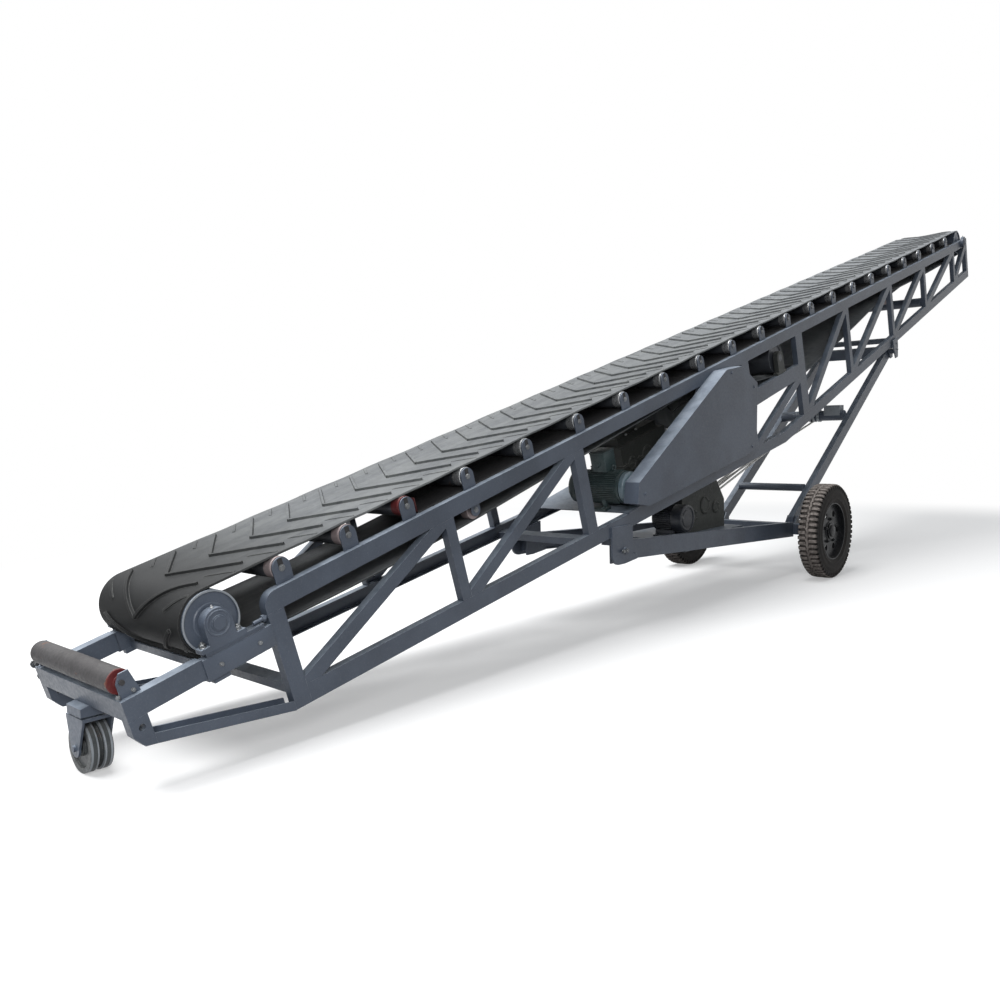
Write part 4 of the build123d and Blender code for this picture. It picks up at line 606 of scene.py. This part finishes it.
def belt_piece():
    """The belt with its edges rubbed round, and every cleat on it."""
    bm = bmesh.new()
    inner = BELT_HALF - BELT_BREAK
    face = [(y, BELT_THICK) for y in (-inner, -200, -70, 70, 200, inner)]
    back = [(y, 0) for y in (inner, 150, -150, -inner)]
    section = [(-BELT_HALF, BELT_BREAK)] + face + [(BELT_HALF, BELT_BREAK)] + back
    rings = []
    for distance in DISTANCES[:-1]:
        rings.append([bm.verts.new(on_belt(distance + 0.001, y, h)) for y, h in section])
    for low, high in zip(rings, rings[1:] + rings[:1]):
        for i in range(len(section)):
            j = (i + 1) % len(section)
            bm.faces.new((low[i], low[j], high[j], high[i]))
    count = int(BELT_ROUND // CLEAT_PITCH)
    for i in range(count):
        start = CLEAT_START + i * BELT_ROUND / count
        for side in SIDES:
            cleat(bm, start, 0.0, start + CLEAT_SWEEP, side * CLEAT_REACH, 10)
            run = CLEAT_SWEEP * (BAR_OUTER - BAR_INNER) / CLEAT_REACH
            bar = start + CLEAT_SWEEP * BAR_INNER / CLEAT_REACH - BAR_SHIFT
            cleat(bm, bar, side * BAR_INNER, bar + run, side * BAR_OUTER, 5, BAR_HEIGHT)
    return bm


def cleat(bm, u0, y0, u1, y1, steps, rise=CLEAT_HEIGHT):
    """One raised bar, from (u0, y0) to (u1, y1), with sloped flanks."""
    lean = Vector((u1 - u0, y1 - y0)).normalized()
    square = Vector((-lean.y, lean.x))
    rings = []
    for i in range(steps + 1):
        share = i / steps
        end = 0.55 if i in (0, steps) and y0 else 1.0
        top = BELT_THICK + rise * end
        middle_u, middle_y = u0 + (u1 - u0) * share, y0 + (y1 - y0) * share
        ring = []
        rising = [(-CLEAT_FOOT, CLEAT_ROOT), (-CLEAT_CROWN, top)]
        falling = [(CLEAT_CROWN, top), (CLEAT_FOOT, CLEAT_ROOT)]
        for offset, height in rising + falling:
            place = square * offset
            ring.append(bm.verts.new(on_belt(middle_u + place.x, middle_y + place.y, height)))
        rings.append(ring)
    for low, high in zip(rings, rings[1:]):
        for k in range(4):
            j = (k + 1) % 4
            bm.faces.new((low[k], low[j], high[j], high[k]))
    bm.faces.new(rings[0][::-1])
    bm.faces.new(rings[-1])


belt = piece("belt_loop", belt_piece(), "boom", BELT)
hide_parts("belt")


# Wheels

TYRE_CROWN = 344.0
TREAD_TOP = 355.5
TREAD_COUNT = 54


def tread_lug(bm, centre, row, angle):
    """One lug of the tread, wrapping over the shoulder."""
    sections = [(13, 341, TREAD_TOP, 22, 17), (40, 341, TREAD_TOP, 23, 18), (60, 339, 354.0, 25, 20),
                (72.5, 322, 341.0, 27, 23)]
    rings = []
    for across, low, top, foot, crown in sections:
        ring = []
        for radius, width in ((low, -foot), (top, -crown), (top, crown), (low, foot)):
            a = angle + width / 2 / radius
            spoke = FORWARD * math.cos(a) + UP * math.sin(a)
            ring.append(bm.verts.new(centre + spoke * radius * MM + ACROSS * row * across * MM))
        rings.append(ring)
    for near, far in zip(rings, rings[1:]):
        for k in range(4):
            j = (k + 1) % 4
            bm.faces.new((near[k], near[j], far[j], far[k]))
    bm.faces.new(rings[0][::-1])
    bm.faces.new(rings[-1])


def tread_rib(bm, centre):
    """The zigzag rib round the middle of the tread."""
    rings = []
    for i in range(2 * TREAD_COUNT):
        a = 2 * math.pi * (i + 0.5) / (2 * TREAD_COUNT)
        spoke = FORWARD * math.cos(a) + UP * math.sin(a)
        shift = 3.5 if i % 2 else -3.5
        ring = []
        for radius, across in ((342, -9), (355, -7), (355, 7), (342, 9)):
            ring.append(bm.verts.new(centre + spoke * radius * MM + ACROSS * (across + shift) * MM))
        rings.append(ring)
    for near, far in zip(rings, rings[1:] + rings[:1]):
        for k in range(3):
            bm.faces.new((near[k], near[k + 1], far[k + 1], far[k]))


def tyre(side, name):
    """A tyre with ribbed side walls and a block tread."""
    bm = bmesh.new()
    centre = middle("tyre_" + name)
    half = [(216, 58), (219, 64), (226, 68), (238, 70), (241, 72.5), (247, 72.5), (250, 71),
            (276, 73.3), (300, 73), (303, 71.5), (308, 71.5), (312, 72), (328, 68), (338, 61),
            (343, 50), (TYRE_CROWN, 30)]
    profile = half + [(TYRE_CROWN, 0)] + [(r, -h) for r, h in half[::-1]]
    lathe(bm, centre, ACROSS, profile, 96, closed=True)
    pitch = 2 * math.pi / TREAD_COUNT
    for i in range(TREAD_COUNT):
        tread_lug(bm, centre, side, i * pitch)
        tread_lug(bm, centre, -side, (i + 0.5) * pitch)
    tread_rib(bm, centre)
    made = piece("tyre_tread_" + name, bm, "wheel_" + name, TYRE)
    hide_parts("tyre_" + name)
    fittings = bmesh.new()
    outward = ACROSS * side
    hub = centre + outward * 46 * MM
    lathe(fittings, hub, outward, [(44, -1), (44, 4), (40, 10), (26, 14), (0, 15)], 36)
    disc = centre + outward * 30 * MM
    for i in range(5):
        a = 2 * math.pi * (i + 0.25) / 5
        nut(fittings, disc + (FORWARD * math.cos(a) + UP * math.sin(a)) * 90 * MM, outward, 22, 12)
    lathe(fittings, disc, outward, [(76, -1), (76, 3), (72, 5), (60, 5)], 48)
    valve = disc + (FORWARD * math.cos(2.2) + UP * math.sin(2.2)) * 186 * MM
    lathe(fittings, valve, outward, [(5, 0), (5, 22), (3.5, 24), (0, 24)], 12)
    piece("wheel_fittings_" + name, fittings, "wheel_" + name, RIM)


tyre(-1, "near")
tyre(1, "far")


# Rollers and drums

STAND_FACE = 346.0
ROLLER_END = 333.0
RETURN_END = 326.0
CAP_SLEEVE = 45.0


def roller_cap(bm, s, n, side, radius=IDLER_RADIUS, end=ROLLER_END):
    """A pressed end cap: a rolled rim, a dished face and a hub."""
    profile = [(radius - 1.5, -CAP_SLEEVE - 1), (radius + 0.4, -CAP_SLEEVE), (radius + 0.4, 1.5),
               (radius - 2, 3), (radius - 6, 1.0), (radius - 9, 0.3), (18, 0.3), (17, 4), (11, 4.5)]
    lathe(bm, boom(s, side * end, n), ACROSS * side, profile, 36)


def slot_shade_plate(bm, s, n, side):
    """The open slot that a roller's shaft drops into, drawn as a thin black plate on the plate's outer
    face: painted shade of the opening.
    """
    half = 11.5
    outline = []
    for i in range(11):
        a = math.pi + math.pi * i / 10
        outline.append((half * math.cos(a), half * math.sin(a)))
    outline = [(-half, 38.5)] + outline + [(half, 38.5)]
    points = [boom(s + ds, side * STAND_FACE, n + dn) for ds, dn in outline]
    prism(bm, points, ACROSS * side * 0.8 * MM)


CAP_KINDS = {0: "weathered", 1: "weathered", 2: "red"}
caps = {"weathered": bmesh.new(), "red": bmesh.new(), "bright": bmesh.new()}
slot_shades = bmesh.new()
for i, s in enumerate(IDLERS):
    kind = CAP_KINDS.get(i, "bright")
    for side in SIDES:
        roller_cap(caps[kind], s, IDLER_HEIGHT, side)
        slot_shade_plate(slot_shades, s, IDLER_HEIGHT, side)
RETURN_ROLLERS = [PRESS_ROLLER, CARRY_ROLLER]
for s, n in RETURN_ROLLERS:
    for side in SIDES:
        roller_cap(caps["weathered"], s, n, side, end=RETURN_END)
piece("idler_caps_weathered", caps["weathered"], "boom", PINKISH)
piece("idler_caps_red", caps["red"], "boom", REDDISH)
piece("idler_caps_bright", caps["bright"], "boom", BRIGHT)
piece("stand_slot_shade_plates", slot_shades, "boom", PAINTED_SHADE)

shaft_ends = bmesh.new()
for s, n in [(s, IDLER_HEIGHT) for s in IDLERS] + RETURN_ROLLERS:
    for side in SIDES:
        lathe(shaft_ends, boom(s, side * 346.5, n), ACROSS * side,
              [(14, 0), (14, 2.5), (10.4, 2.6), (10.4, 7), (8, 8), (0, 8)], 18)
piece("idler_shaft_ends", shaft_ends, "boom", FASTENER)

drum_rims = bmesh.new()
drum_discs = bmesh.new()
for s, n, radius, end in ((*TAIL_DRUM, 116.0, 332.0), (*HEAD_DRUM, 122.5, 326.0)):
    for side in SIDES:
        face = boom(s, side * end, n)
        lathe(drum_rims, face, ACROSS * side,
              [(radius - 0.2, -7), (radius + 0.2, 1.2), (radius - 7, 1.6), (radius - 8, -6)], 56)
        lathe(drum_discs, face, ACROSS * side,
              [(radius - 8.5, -6.6), (70, -6.2), (66, -3), (52, -2.5), (50, 3), (27, 4), (25.5, 0)], 56)
        for i in range(6):
            a = 2 * math.pi * i / 6
            spoke = ALONG * math.cos(a) + OUT * math.sin(a)
            bolt(drum_discs, face + spoke * 39 * MM + ACROSS * side * 3.4 * MM, ACROSS * side, 10, 5)
piece("drum_rims", drum_rims, "boom", EDGE_STEEL)
piece("drum_discs", drum_discs, "boom", PAINT)

roller_ends = bmesh.new()
loader = middle("loading_roller")
for side in SIDES:
    lathe(roller_ends, loader + ACROSS * side * 326 * MM, ACROSS * side,
          [(43.6, -4), (44.3, -3), (44.3, 1), (42, 3), (34, 1), (20, 1), (18, 5), (12, 5)], 36)
piece("loading_roller_ends", roller_ends, "loading_spin", REDDISH)


# Bearings

seals = bmesh.new()
bearing_bolts = bmesh.new()
nipples = bmesh.new()
BEARINGS = [(*TAIL_DRUM, 380.0, 57.0), (*HEAD_DRUM, 400.0, 57.0)]
for s, n, face, radius in BEARINGS:
    for side in SIDES:
        centre = boom(s, side * face, n)
        lathe(seals, centre, ACROSS * side,
              [(radius - 7, -1), (radius - 9, 3), (radius - 14, 3.5), (radius - 17, 0.6),
               (31, 0.6), (29, 5), (25.4, 5.5), (25.2, 0)], 40)
        lathe(nipples, boom(s, side * (face - 14), n + radius - 1), OUT,
              [(6, 0), (6, 6), (3.2, 7), (3.2, 12), (2, 14), (0, 14)], 10)
for ds in (-75, 75):
    for side in SIDES:
        nut(bearing_bolts, boom(TAIL_DRUM[0] + ds, side * 358, -79.0), OUT, 22, 13)
piece("bearing_seals", seals, "boom", PAINT)
piece("grease_nipples", nipples, "boom", BRIGHT)


HOUSING_TOP = -115.0
HOUSING_FOOT = -203.0
housings = bmesh.new()
for side in SIDES:
    block(housings, boom(-150, side * 358, (HOUSING_TOP + HOUSING_FOOT) / 2), (ALONG, ACROSS, OUT),
          (300, 44, HOUSING_TOP - HOUSING_FOOT), 4)
    block(housings, boom(-240, side * 352, -212), (ALONG, ACROSS, OUT), (70, 30, 24), 3)
    block(housings, boom(-155, side * 358, -106), (ALONG, ACROSS, OUT), (250, 44, 18), 2)
    tube(housings, [boom(-60 + i * 8, side * 358, -88) for i in range(9)], 8, 12)
    lathe(housings, boom(-20, side * 358, -88), ALONG, [(0, 0), (15, 0), (15, 12), (0, 12)], 6)
housing_piece = piece("takeup_boxes", housings, "boom", PAINT)
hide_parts("takeup_housings")

DECK_TAIL = 880.0
DECK_HEAD = 9230.0
DECK_WIDTH = 672.0
DECK_THICK = 3.0
DECK_RIBS = 12
RIB_LENGTH = 640.0
RIB_WIDTH = 26.0
RIB_RISE = 4.0
LIP_RISE = 68.0
deck = bmesh.new()
span = DECK_HEAD - DECK_TAIL
block(deck, boom((DECK_TAIL + DECK_HEAD) / 2, 0, DECK_THICK / 2), (ALONG, ACROSS, OUT),
      (span, DECK_WIDTH, DECK_THICK), 0.5)
for i in range(DECK_RIBS):
    rib = DECK_TAIL + span * (i + 0.5) / DECK_RIBS
    block(deck, boom(rib, 0, DECK_THICK * 1.5), (ALONG, ACROSS, OUT), (RIB_WIDTH, RIB_LENGTH, RIB_RISE), 1)
# A deck plate under the belt, coloured near-black: painted shade beneath the belt.
piece("deck_sheet", deck, "boom", PAINTED_SHADE)
lip = bmesh.new()
block(lip, boom(DECK_TAIL + 2, 0, LIP_RISE / 2 + 2), (ALONG, ACROSS, OUT), (4, RIB_LENGTH, LIP_RISE), 1)
piece("deck_lip", lip, "boom", REDDISH)


# Drive

MOTOR_S = 2500.0
MOTOR_N = -455.0


def drive_motor():
    """A finned motor with its fan cowl, end bell, terminal box and feet."""
    bm = bmesh.new()
    toward = -ACROSS
    centre = boom(MOTOR_S, 0, MOTOR_N)
    lathe(bm, centre, toward, [(0, -60), (70, -60), (92, -57), (101, -48), (103, -40), (103, -8), (99, -6),
                               (88, -6), (88, 292), (98, 293), (98, 304), (84, 306), (0, 306)], 64)
    for i in range(48):
        a = 2 * math.pi * i / 48
        spoke = ALONG * math.cos(a) + OUT * math.sin(a)
        if spoke.dot(OUT) < -0.86:
            continue
        middle_point = centre + spoke * 95 * MM + toward * 143 * MM
        thin = toward.cross(spoke)
        corners = []
        for radial, along_axis in ((-9, -141), (8, -137), (8, 137), (-9, 141)):
            corners.append(middle_point + spoke * radial * MM + toward * along_axis * MM - thin * 1.6 * MM)
        prism(bm, corners, thin * 3.2 * MM)
    for i in range(4):
        a = math.pi / 4 + i * math.pi / 2
        spoke = ALONG * math.cos(a) + OUT * math.sin(a)
        bolt(bm, centre + spoke * 90 * MM + toward * 304 * MM, toward, 12, 6)
    box_centre = boom(MOTOR_S, -170, -290)
    block(bm, box_centre, (ALONG, ACROSS, OUT), (106, 106, 118), 5)
    block(bm, boom(MOTOR_S, -170, -231), (ALONG, ACROSS, OUT), (110, 110, 10), 2.5)
    for ds, dy in ((-46, -46), (46, -46), (46, 46), (-46, 46)):
        bolt(bm, boom(MOTOR_S + ds, -170 + dy, -227), OUT, 8, 1.5)
    lathe(bm, boom(MOTOR_S - 52, -170, -300), -ALONG, [(14, 0), (14, 10), (11, 12), (11, 20), (0, 20)], 16)
    for side in SIDES:
        block(bm, boom(MOTOR_S + side * 90, -115, -564), (ALONG, ACROSS, OUT), (58, 190, 15), 2)
        for dy in (-70, 70):
            block(bm, boom(MOTOR_S + side * 76, -115 + dy, -532), (ALONG, ACROSS, OUT), (20, 26, 60), 2)
            bolt(bm, boom(MOTOR_S + side * 102, -115 + dy, -556.5), OUT, 19, 9)
    eye = centre + OUT * 100 * MM + toward * 240 * MM + OUT * 20 * MM
    loop = []
    for i in range(17):
        a = 2 * math.pi * i / 16
        loop.append(eye + (ALONG * math.cos(a) + OUT * math.sin(a)) * 15 * MM)
    tube(bm, loop, 4.5, 8)
    made = piece("drive_motor_body", bm, "boom", ENAMEL)
    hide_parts("drive_motor")
    bell = bmesh.new()
    lathe(bell, centre, toward,
          [(84, 306), (94, 309), (94, 334), (88, 342), (70, 350), (44, 352), (42, 346),
           (30, 346), (28, 354), (20, 356), (20, 421), (0, 421)], 64)
    lathe(bell, centre, toward, [(60, 350), (62, 355), (54, 357), (52, 351)], 56)
    piece("drive_motor_bell", bell, "boom", BELL)


drive_motor()

gear_trim = bmesh.new()
for n in (-418.0, -430.0):
    block(gear_trim, boom(3025, 0, n), (ALONG, ACROSS, OUT), (546, 256, 10), 2)
for s in range(2790, 3280, 78):
    for side in SIDES:
        bolt(gear_trim, boom(s, side * 124 * 0.97, -413), OUT, 14, 8)
for s in (2830, 2960, 3090, 3220):
    for side in SIDES:
        block(gear_trim, boom(s, side * 123, -500), (ALONG, ACROSS, OUT), (10, 12, 128), 2)
for s, radius in ((2860, 46), (3040, 60), (3200, 52)):
    for side in SIDES:
        cover = [(radius, -2), (radius, 8), (radius - 5, 11), (radius - 16, 11), (radius - 20, 7), (0, 7)]
        lathe(gear_trim, boom(s, side * 119, -425), ACROSS * side, cover, 32)
        for i in range(6):
            a = 2 * math.pi * i / 6
            spoke = ALONG * math.cos(a) + OUT * math.sin(a)
            bolt(gear_trim, boom(s, side * 129, -425) + spoke * (radius - 8) * MM, ACROSS * side, 9, 4)
piece("gearbox_trim", gear_trim, "boom", CAST)
breather = bmesh.new()
lathe(breather, boom(3180, 40, -255), OUT,
      [(0, -2), (13, -2), (13, 8), (18, 9), (18, 20), (12, 24), (0, 25)], 18)
for ds in (-60, 60):
    bolt(breather, boom(2960 + ds, -80, -255), OUT, 16, 8)
    bolt(breather, boom(2960 + ds, 80, -255), OUT, 16, 8)
piece("gearbox_breather", breather, "boom", BRIGHT)

GUARD_FACE = 470.0
GUARD_BOLTS = [(2440, 470), (3640, 60), (3925, 230), (3790, 612)]
guard_bolts = bmesh.new()
for s, depth in GUARD_BOLTS:
    bolt(guard_bolts, boom(s, -GUARD_FACE + 1, -depth), -ACROSS, 17, 6)
piece("guard_bolts", guard_bolts, "boom", PAINT)


# Winch and ropes

WINCH_X = 3326.0
WINCH_Z = 569.0


def winch_motor():
    """The winch's motor: a smooth cowl with a ringed face, fins and feet."""
    bm = bmesh.new()
    toward = -ACROSS
    centre = ground(WINCH_X, 0, WINCH_Z)
    lathe(bm, centre, toward,
          [(0, 20), (80, 20), (86, 24), (86, 40), (80, 42), (80, 165), (92, 168), (94.5, 172),
           (94.5, 240), (92, 247), (84, 250), (76, 250), (74, 244), (60, 243), (57, 248),
           (30, 249.5), (0, 249.5)], 64)
    for i in range(40):
        a = 2 * math.pi * i / 40
        spoke = FORWARD * math.cos(a) + UP * math.sin(a)
        if spoke.z < -0.8:
            continue
        middle_point = centre + spoke * 86 * MM + toward * 103 * MM
        thin = toward.cross(spoke)
        corners = []
        for radial, along_axis in ((-8, -61), (8, -58), (8, 58), (-8, 61)):
            corners.append(middle_point + spoke * radial * MM + toward * along_axis * MM - thin * 1.5 * MM)
        prism(bm, corners, thin * 3 * MM)
    for side in SIDES:
        block(bm, ground(WINCH_X + side * 60, -105, 453), (FORWARD, ACROSS, UP), (44, 150, 14), 2)
        block(bm, ground(WINCH_X + side * 52, -105, 474), (FORWARD, ACROSS, UP), (18, 140, 36), 2)
        for y in (-160, -50):
            bolt(bm, ground(WINCH_X + side * 72, y, 460), UP, 16, 8)
    made = piece("winch_motor_body", bm, "undercarriage", WINCH_ENAMEL)
    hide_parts("winch_motor")


winch_motor()

winch_low, winch_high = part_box("winch_gearbox")
winch_trim = bmesh.new()
face_y = winch_low.y
for x, z, radius in ((0.24, 0.30, 48), (0.52, 0.46, 62), (0.78, 0.40, 44)):
    place = Vector((winch_low.x + (winch_high.x - winch_low.x) * x, face_y,
                    winch_low.z + (winch_high.z - winch_low.z) * z))
    lathe(winch_trim, place, -ACROSS, [(radius, -2), (radius, 7), (radius - 5, 10), (radius - 15, 10),
                                       (radius - 18, 6), (0, 6)], 36)
    for i in range(6):
        a = 2 * math.pi * (i + 0.5) / 6
        spoke = FORWARD * math.cos(a) + UP * math.sin(a)
        bolt(winch_trim, place + spoke * (radius - 8) * MM - ACROSS * 9 * MM, -ACROSS, 9, 4)
piece("winch_gearbox_covers", winch_trim, "undercarriage", CAST)

DRUM_CENTRE = Vector((middle("rope_drum").x, 0, middle("rope_drum").z))
WRAP_PITCH = 11.0
wraps = bmesh.new()
profile = []
for i in range(17):
    for share in range(6):
        a = math.pi * share / 5
        profile.append((75.2 + 5.2 * math.sin(a), (i + share / 5) * WRAP_PITCH))
lathe(wraps, DRUM_CENTRE + ACROSS * -3 * MM, ACROSS, [(70, 0)] + profile + [(70, profile[-1][1])], 40)
piece("rope_wraps", wraps, "undercarriage", ROPE)

BAR_CENTRE = Vector((middle("rope_block").x, 0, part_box("rope_block")[0].z + 54 * MM))
ROPE_RADIUS = 8.0
ROPE_RUNS = [(8.0, -60.0, 1), (50.0, -20.0, 1), (92.0, 20.0, 1), (134.0, 4.0, -1)]
ropes = bmesh.new()
way = (BAR_CENTRE - DRUM_CENTRE).normalized()
off = Vector((-way.z, 0, way.x))
for y_drum, y_bar, turn in ROPE_RUNS:
    start = DRUM_CENTRE - off * 80 * MM + ACROSS * y_drum * MM
    end = BAR_CENTRE + off * turn * 52 * MM + ACROSS * y_bar * MM
    tube(ropes, [start.lerp(end, i / 60) for i in range(61)], ROPE_RADIUS, 10)
rope_piece = piece("winch_ropes", ropes, None, ROPE)
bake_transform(rope_piece)


# Bolts of the frame

EAR_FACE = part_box("hinge_ears")[1].y / MM
PIVOT = (2390.0, 484.0)
EAR_BOLT_GAP = 34.0
ear_pins = bmesh.new()
for side in SIDES:
    for x in (PIVOT[0], PIVOT[0] - EAR_BOLT_GAP):
        bolt(ear_pins, ground(x, side * (EAR_FACE - 1), PIVOT[1]), ACROSS * side, 19, 9)
piece("ear_pins", ear_pins, "boom", FASTENER)

strut_pins = bmesh.new()
for side in SIDES:
    nut(strut_pins, ground(4836, side * 325, 413), ACROSS * side, 34, 14)
piece("strut_pins", strut_pins, "strut_frame", FASTENER)

slider_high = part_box("slider")[1]
slider_bolts = bmesh.new()
slider_middle = middle("slider")
for side in SIDES:
    face = slider_middle + ACROSS * side * (slider_high.y - 0.001)
    for along in (-38, 38):
        for off_chord in (-26, 26):
            place = face + (ALONG * along + OUT * off_chord) * MM
            bolt(slider_bolts, place, ACROSS * side, 16, 7)
piece("slider_bolts", slider_bolts, "slider_carriage", FASTENER)

for s in (-236, -68):
    for side in SIDES:
        bolt(bearing_bolts, boom(s, side * 379.5, -160), ACROSS * side, 15, 7)
for s, n in ((-600, -105), (-592, -160)):
    lathe(bearing_bolts, boom(s, 371, n), ACROSS, [(8, 0), (8, 30), (0, 31)], 14)
    bolt(bearing_bolts, boom(s, 376, n), ACROSS, 26, 12)
for ds in (-28, 28):
    for side in SIDES:
        bolt(bearing_bolts, boom(-572 + ds, side * 347, -100), ACROSS * side, 14, 7)
piece("bearing_bolts", bearing_bolts, "boom", FASTENER)

wheel_middle = middle("caster_wheel")
caster_trim = bmesh.new()
for side in SIDES:
    rim = wheel_middle + FORWARD * side * 40.5 * MM
    lathe(caster_trim, rim, FORWARD * side,
          [(97.5, -9), (97.5, -1), (95, 1), (88, 1.2), (84, 0), (80, -9)], 48)
    lathe(caster_trim, rim, FORWARD * side, [(30, -12), (30, -3), (26, -1), (16, -1)], 32)
    groove = wheel_middle + FORWARD * side * 9.5 * MM
    lathe(caster_trim, groove, FORWARD * side, [(97.5, 7), (97.5, 1.5), (95, 0), (90, 0)], 48)
for vert in caster_trim.verts:
    vert.co.z = max(vert.co.z, 0.0001)
piece("caster_rims", caster_trim, "caster_roll", EDGE_STEEL)

scraper_low, scraper_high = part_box("tail_scraper")
blade = bmesh.new()
blade_middle = Vector(((scraper_low.x + scraper_high.x) / 2, 0, scraper_high.z + 6 * MM))
block(blade, blade_middle, (FORWARD, ACROSS, UP), (9, 600, 26), 2)
piece("scraper_blade", blade, "boom", BELT)


# Studio

CAMERA_PLACE = Vector((-6.20587, -3.238, 1.228))
YAW = 0.8321
PITCH = -0.0858
ROLL = -0.0283
LENS = 31.65
SENSOR = 36.0


def camera():
    """The camera at the photograph's angle."""
    forward = Vector((math.sin(YAW) * math.cos(PITCH), math.cos(YAW) * math.cos(PITCH), math.sin(PITCH)))
    level = Vector((math.cos(YAW), -math.sin(YAW), 0))
    upward = level.cross(forward)
    right = level * math.cos(ROLL) + upward * math.sin(ROLL)
    top = -level * math.sin(ROLL) + upward * math.cos(ROLL)
    data = bpy.data.cameras.new("camera")
    data.lens = LENS
    data.sensor_width = SENSOR
    data.clip_end = 200
    made = bpy.data.objects.new("camera", data)
    turn = Matrix((right, top, -forward)).transposed()
    made.matrix_world = Matrix.Translation(CAMERA_PLACE) @ turn.to_4x4()
    bpy.context.scene.collection.objects.link(made)
    bpy.context.scene.camera = made


def seen(tree):
    """1 for a ray from the camera, a gloss or a glass, else 0."""
    path = tree.nodes.new("ShaderNodeLightPath")
    total = path.outputs["Is Camera Ray"]
    for name in ("Is Glossy Ray", "Is Transmission Ray"):
        node = tree.nodes.new("ShaderNodeMath")
        node.operation = "MAXIMUM"
        tree.links.new(total, node.inputs[0])
        tree.links.new(path.outputs[name], node.inputs[1])
        total = node.outputs[0]
    return total


FLOOR_SEEN = (0.93, 0.93, 0.93, 1)
FLOOR_BOUNCE = (0.13, 0.13, 0.135, 1)
SKY = (0.88, 0.94, 1.0, 1)
SKY_STRENGTH = 0.25


def floor():
    """A pale floor that keeps the shadow."""
    bm = bmesh.new()
    lathe(bm, Vector((0, 0, -0.0005)), UP, [(0, 0), (6000, 0), (60000, 0)], 64)
    mesh = bpy.data.meshes.new("floor")
    bm.to_mesh(mesh)
    bm.free()
    made = bpy.data.objects.new("floor", mesh)
    bpy.context.scene.collection.objects.link(made)
    material = bpy.data.materials.new("floor_pale")
    material.use_nodes = True
    tree = material.node_tree
    shader = tree.nodes["Principled BSDF"]
    tint = tree.nodes.new("ShaderNodeMix")
    tint.data_type = "RGBA"
    tree.links.new(seen(tree), tint.inputs["Factor"])
    tint.inputs[6].default_value = FLOOR_BOUNCE
    tint.inputs[7].default_value = FLOOR_SEEN
    tree.links.new(tint.outputs[2], shader.inputs["Base Color"])
    shader.inputs["Roughness"].default_value = 1.0
    shader.inputs["Specular IOR Level"].default_value = 0.0
    place = tree.nodes.new("ShaderNodeTexCoord")
    reach = tree.nodes.new("ShaderNodeVectorMath")
    reach.operation = "LENGTH"
    tree.links.new(place.outputs["Object"], reach.inputs[0])
    fade = tree.nodes.new("ShaderNodeMapRange")
    fade.interpolation_type = "SMOOTHSTEP"
    fade.inputs["From Min"].default_value = 4.6
    fade.inputs["From Max"].default_value = 6.8
    fade.inputs["To Min"].default_value = 0.35
    tree.links.new(reach.outputs["Value"], fade.inputs["Value"])
    both = tree.nodes.new("ShaderNodeMath")
    both.operation = "MULTIPLY"
    tree.links.new(fade.outputs["Result"], both.inputs[0])
    tree.links.new(seen(tree), both.inputs[1])
    white = tree.nodes.new("ShaderNodeEmission")
    join = tree.nodes.new("ShaderNodeMixShader")
    tree.links.new(both.outputs[0], join.inputs[0])
    tree.links.new(shader.outputs[0], join.inputs[1])
    tree.links.new(white.outputs[0], join.inputs[2])
    tree.links.new(join.outputs[0], tree.nodes["Material Output"].inputs["Surface"])
    mesh.materials.append(material)


def world():
    """White where it is seen, a soft sky where it lights."""
    made = bpy.data.worlds.new("studio")
    made.use_nodes = True
    bpy.context.scene.world = made
    tree = made.node_tree
    tree.nodes.clear()
    lit = tree.nodes.new("ShaderNodeBackground")
    lit.inputs["Color"].default_value = SKY
    lit.inputs["Strength"].default_value = SKY_STRENGTH
    white = tree.nodes.new("ShaderNodeBackground")
    white.inputs["Color"].default_value = (1, 1, 1, 1)
    white.inputs["Strength"].default_value = 1.0
    mix = tree.nodes.new("ShaderNodeMixShader")
    output = tree.nodes.new("ShaderNodeOutputWorld")
    tree.links.new(seen(tree), mix.inputs[0])
    tree.links.new(lit.outputs[0], mix.inputs[1])
    tree.links.new(white.outputs[0], mix.inputs[2])
    tree.links.new(mix.outputs[0], output.inputs["Surface"])


def lamp(name, place, target, size, power, colour=(1, 1, 1)):
    data = bpy.data.lights.new(name, "AREA")
    data.shape = "DISK"
    data.size = size
    data.energy = power
    data.color = colour
    made = bpy.data.objects.new(name, data)
    made.location = place
    made.rotation_euler = (Vector(target) - Vector(place)).to_track_quat("-Z", "Y").to_euler()
    bpy.context.scene.collection.objects.link(made)


camera()
floor()
world()
lamp("overhead", (-6.0, 2.5, 12.0), (-0.5, 0, 1.0), 11.0, 2650)
lamp("side_fill", (-8.2, -5.0, 3.2), (-4.4, 0, 0.6), 3.0, 240)
bpy.context.scene.view_settings.view_transform = "Standard"
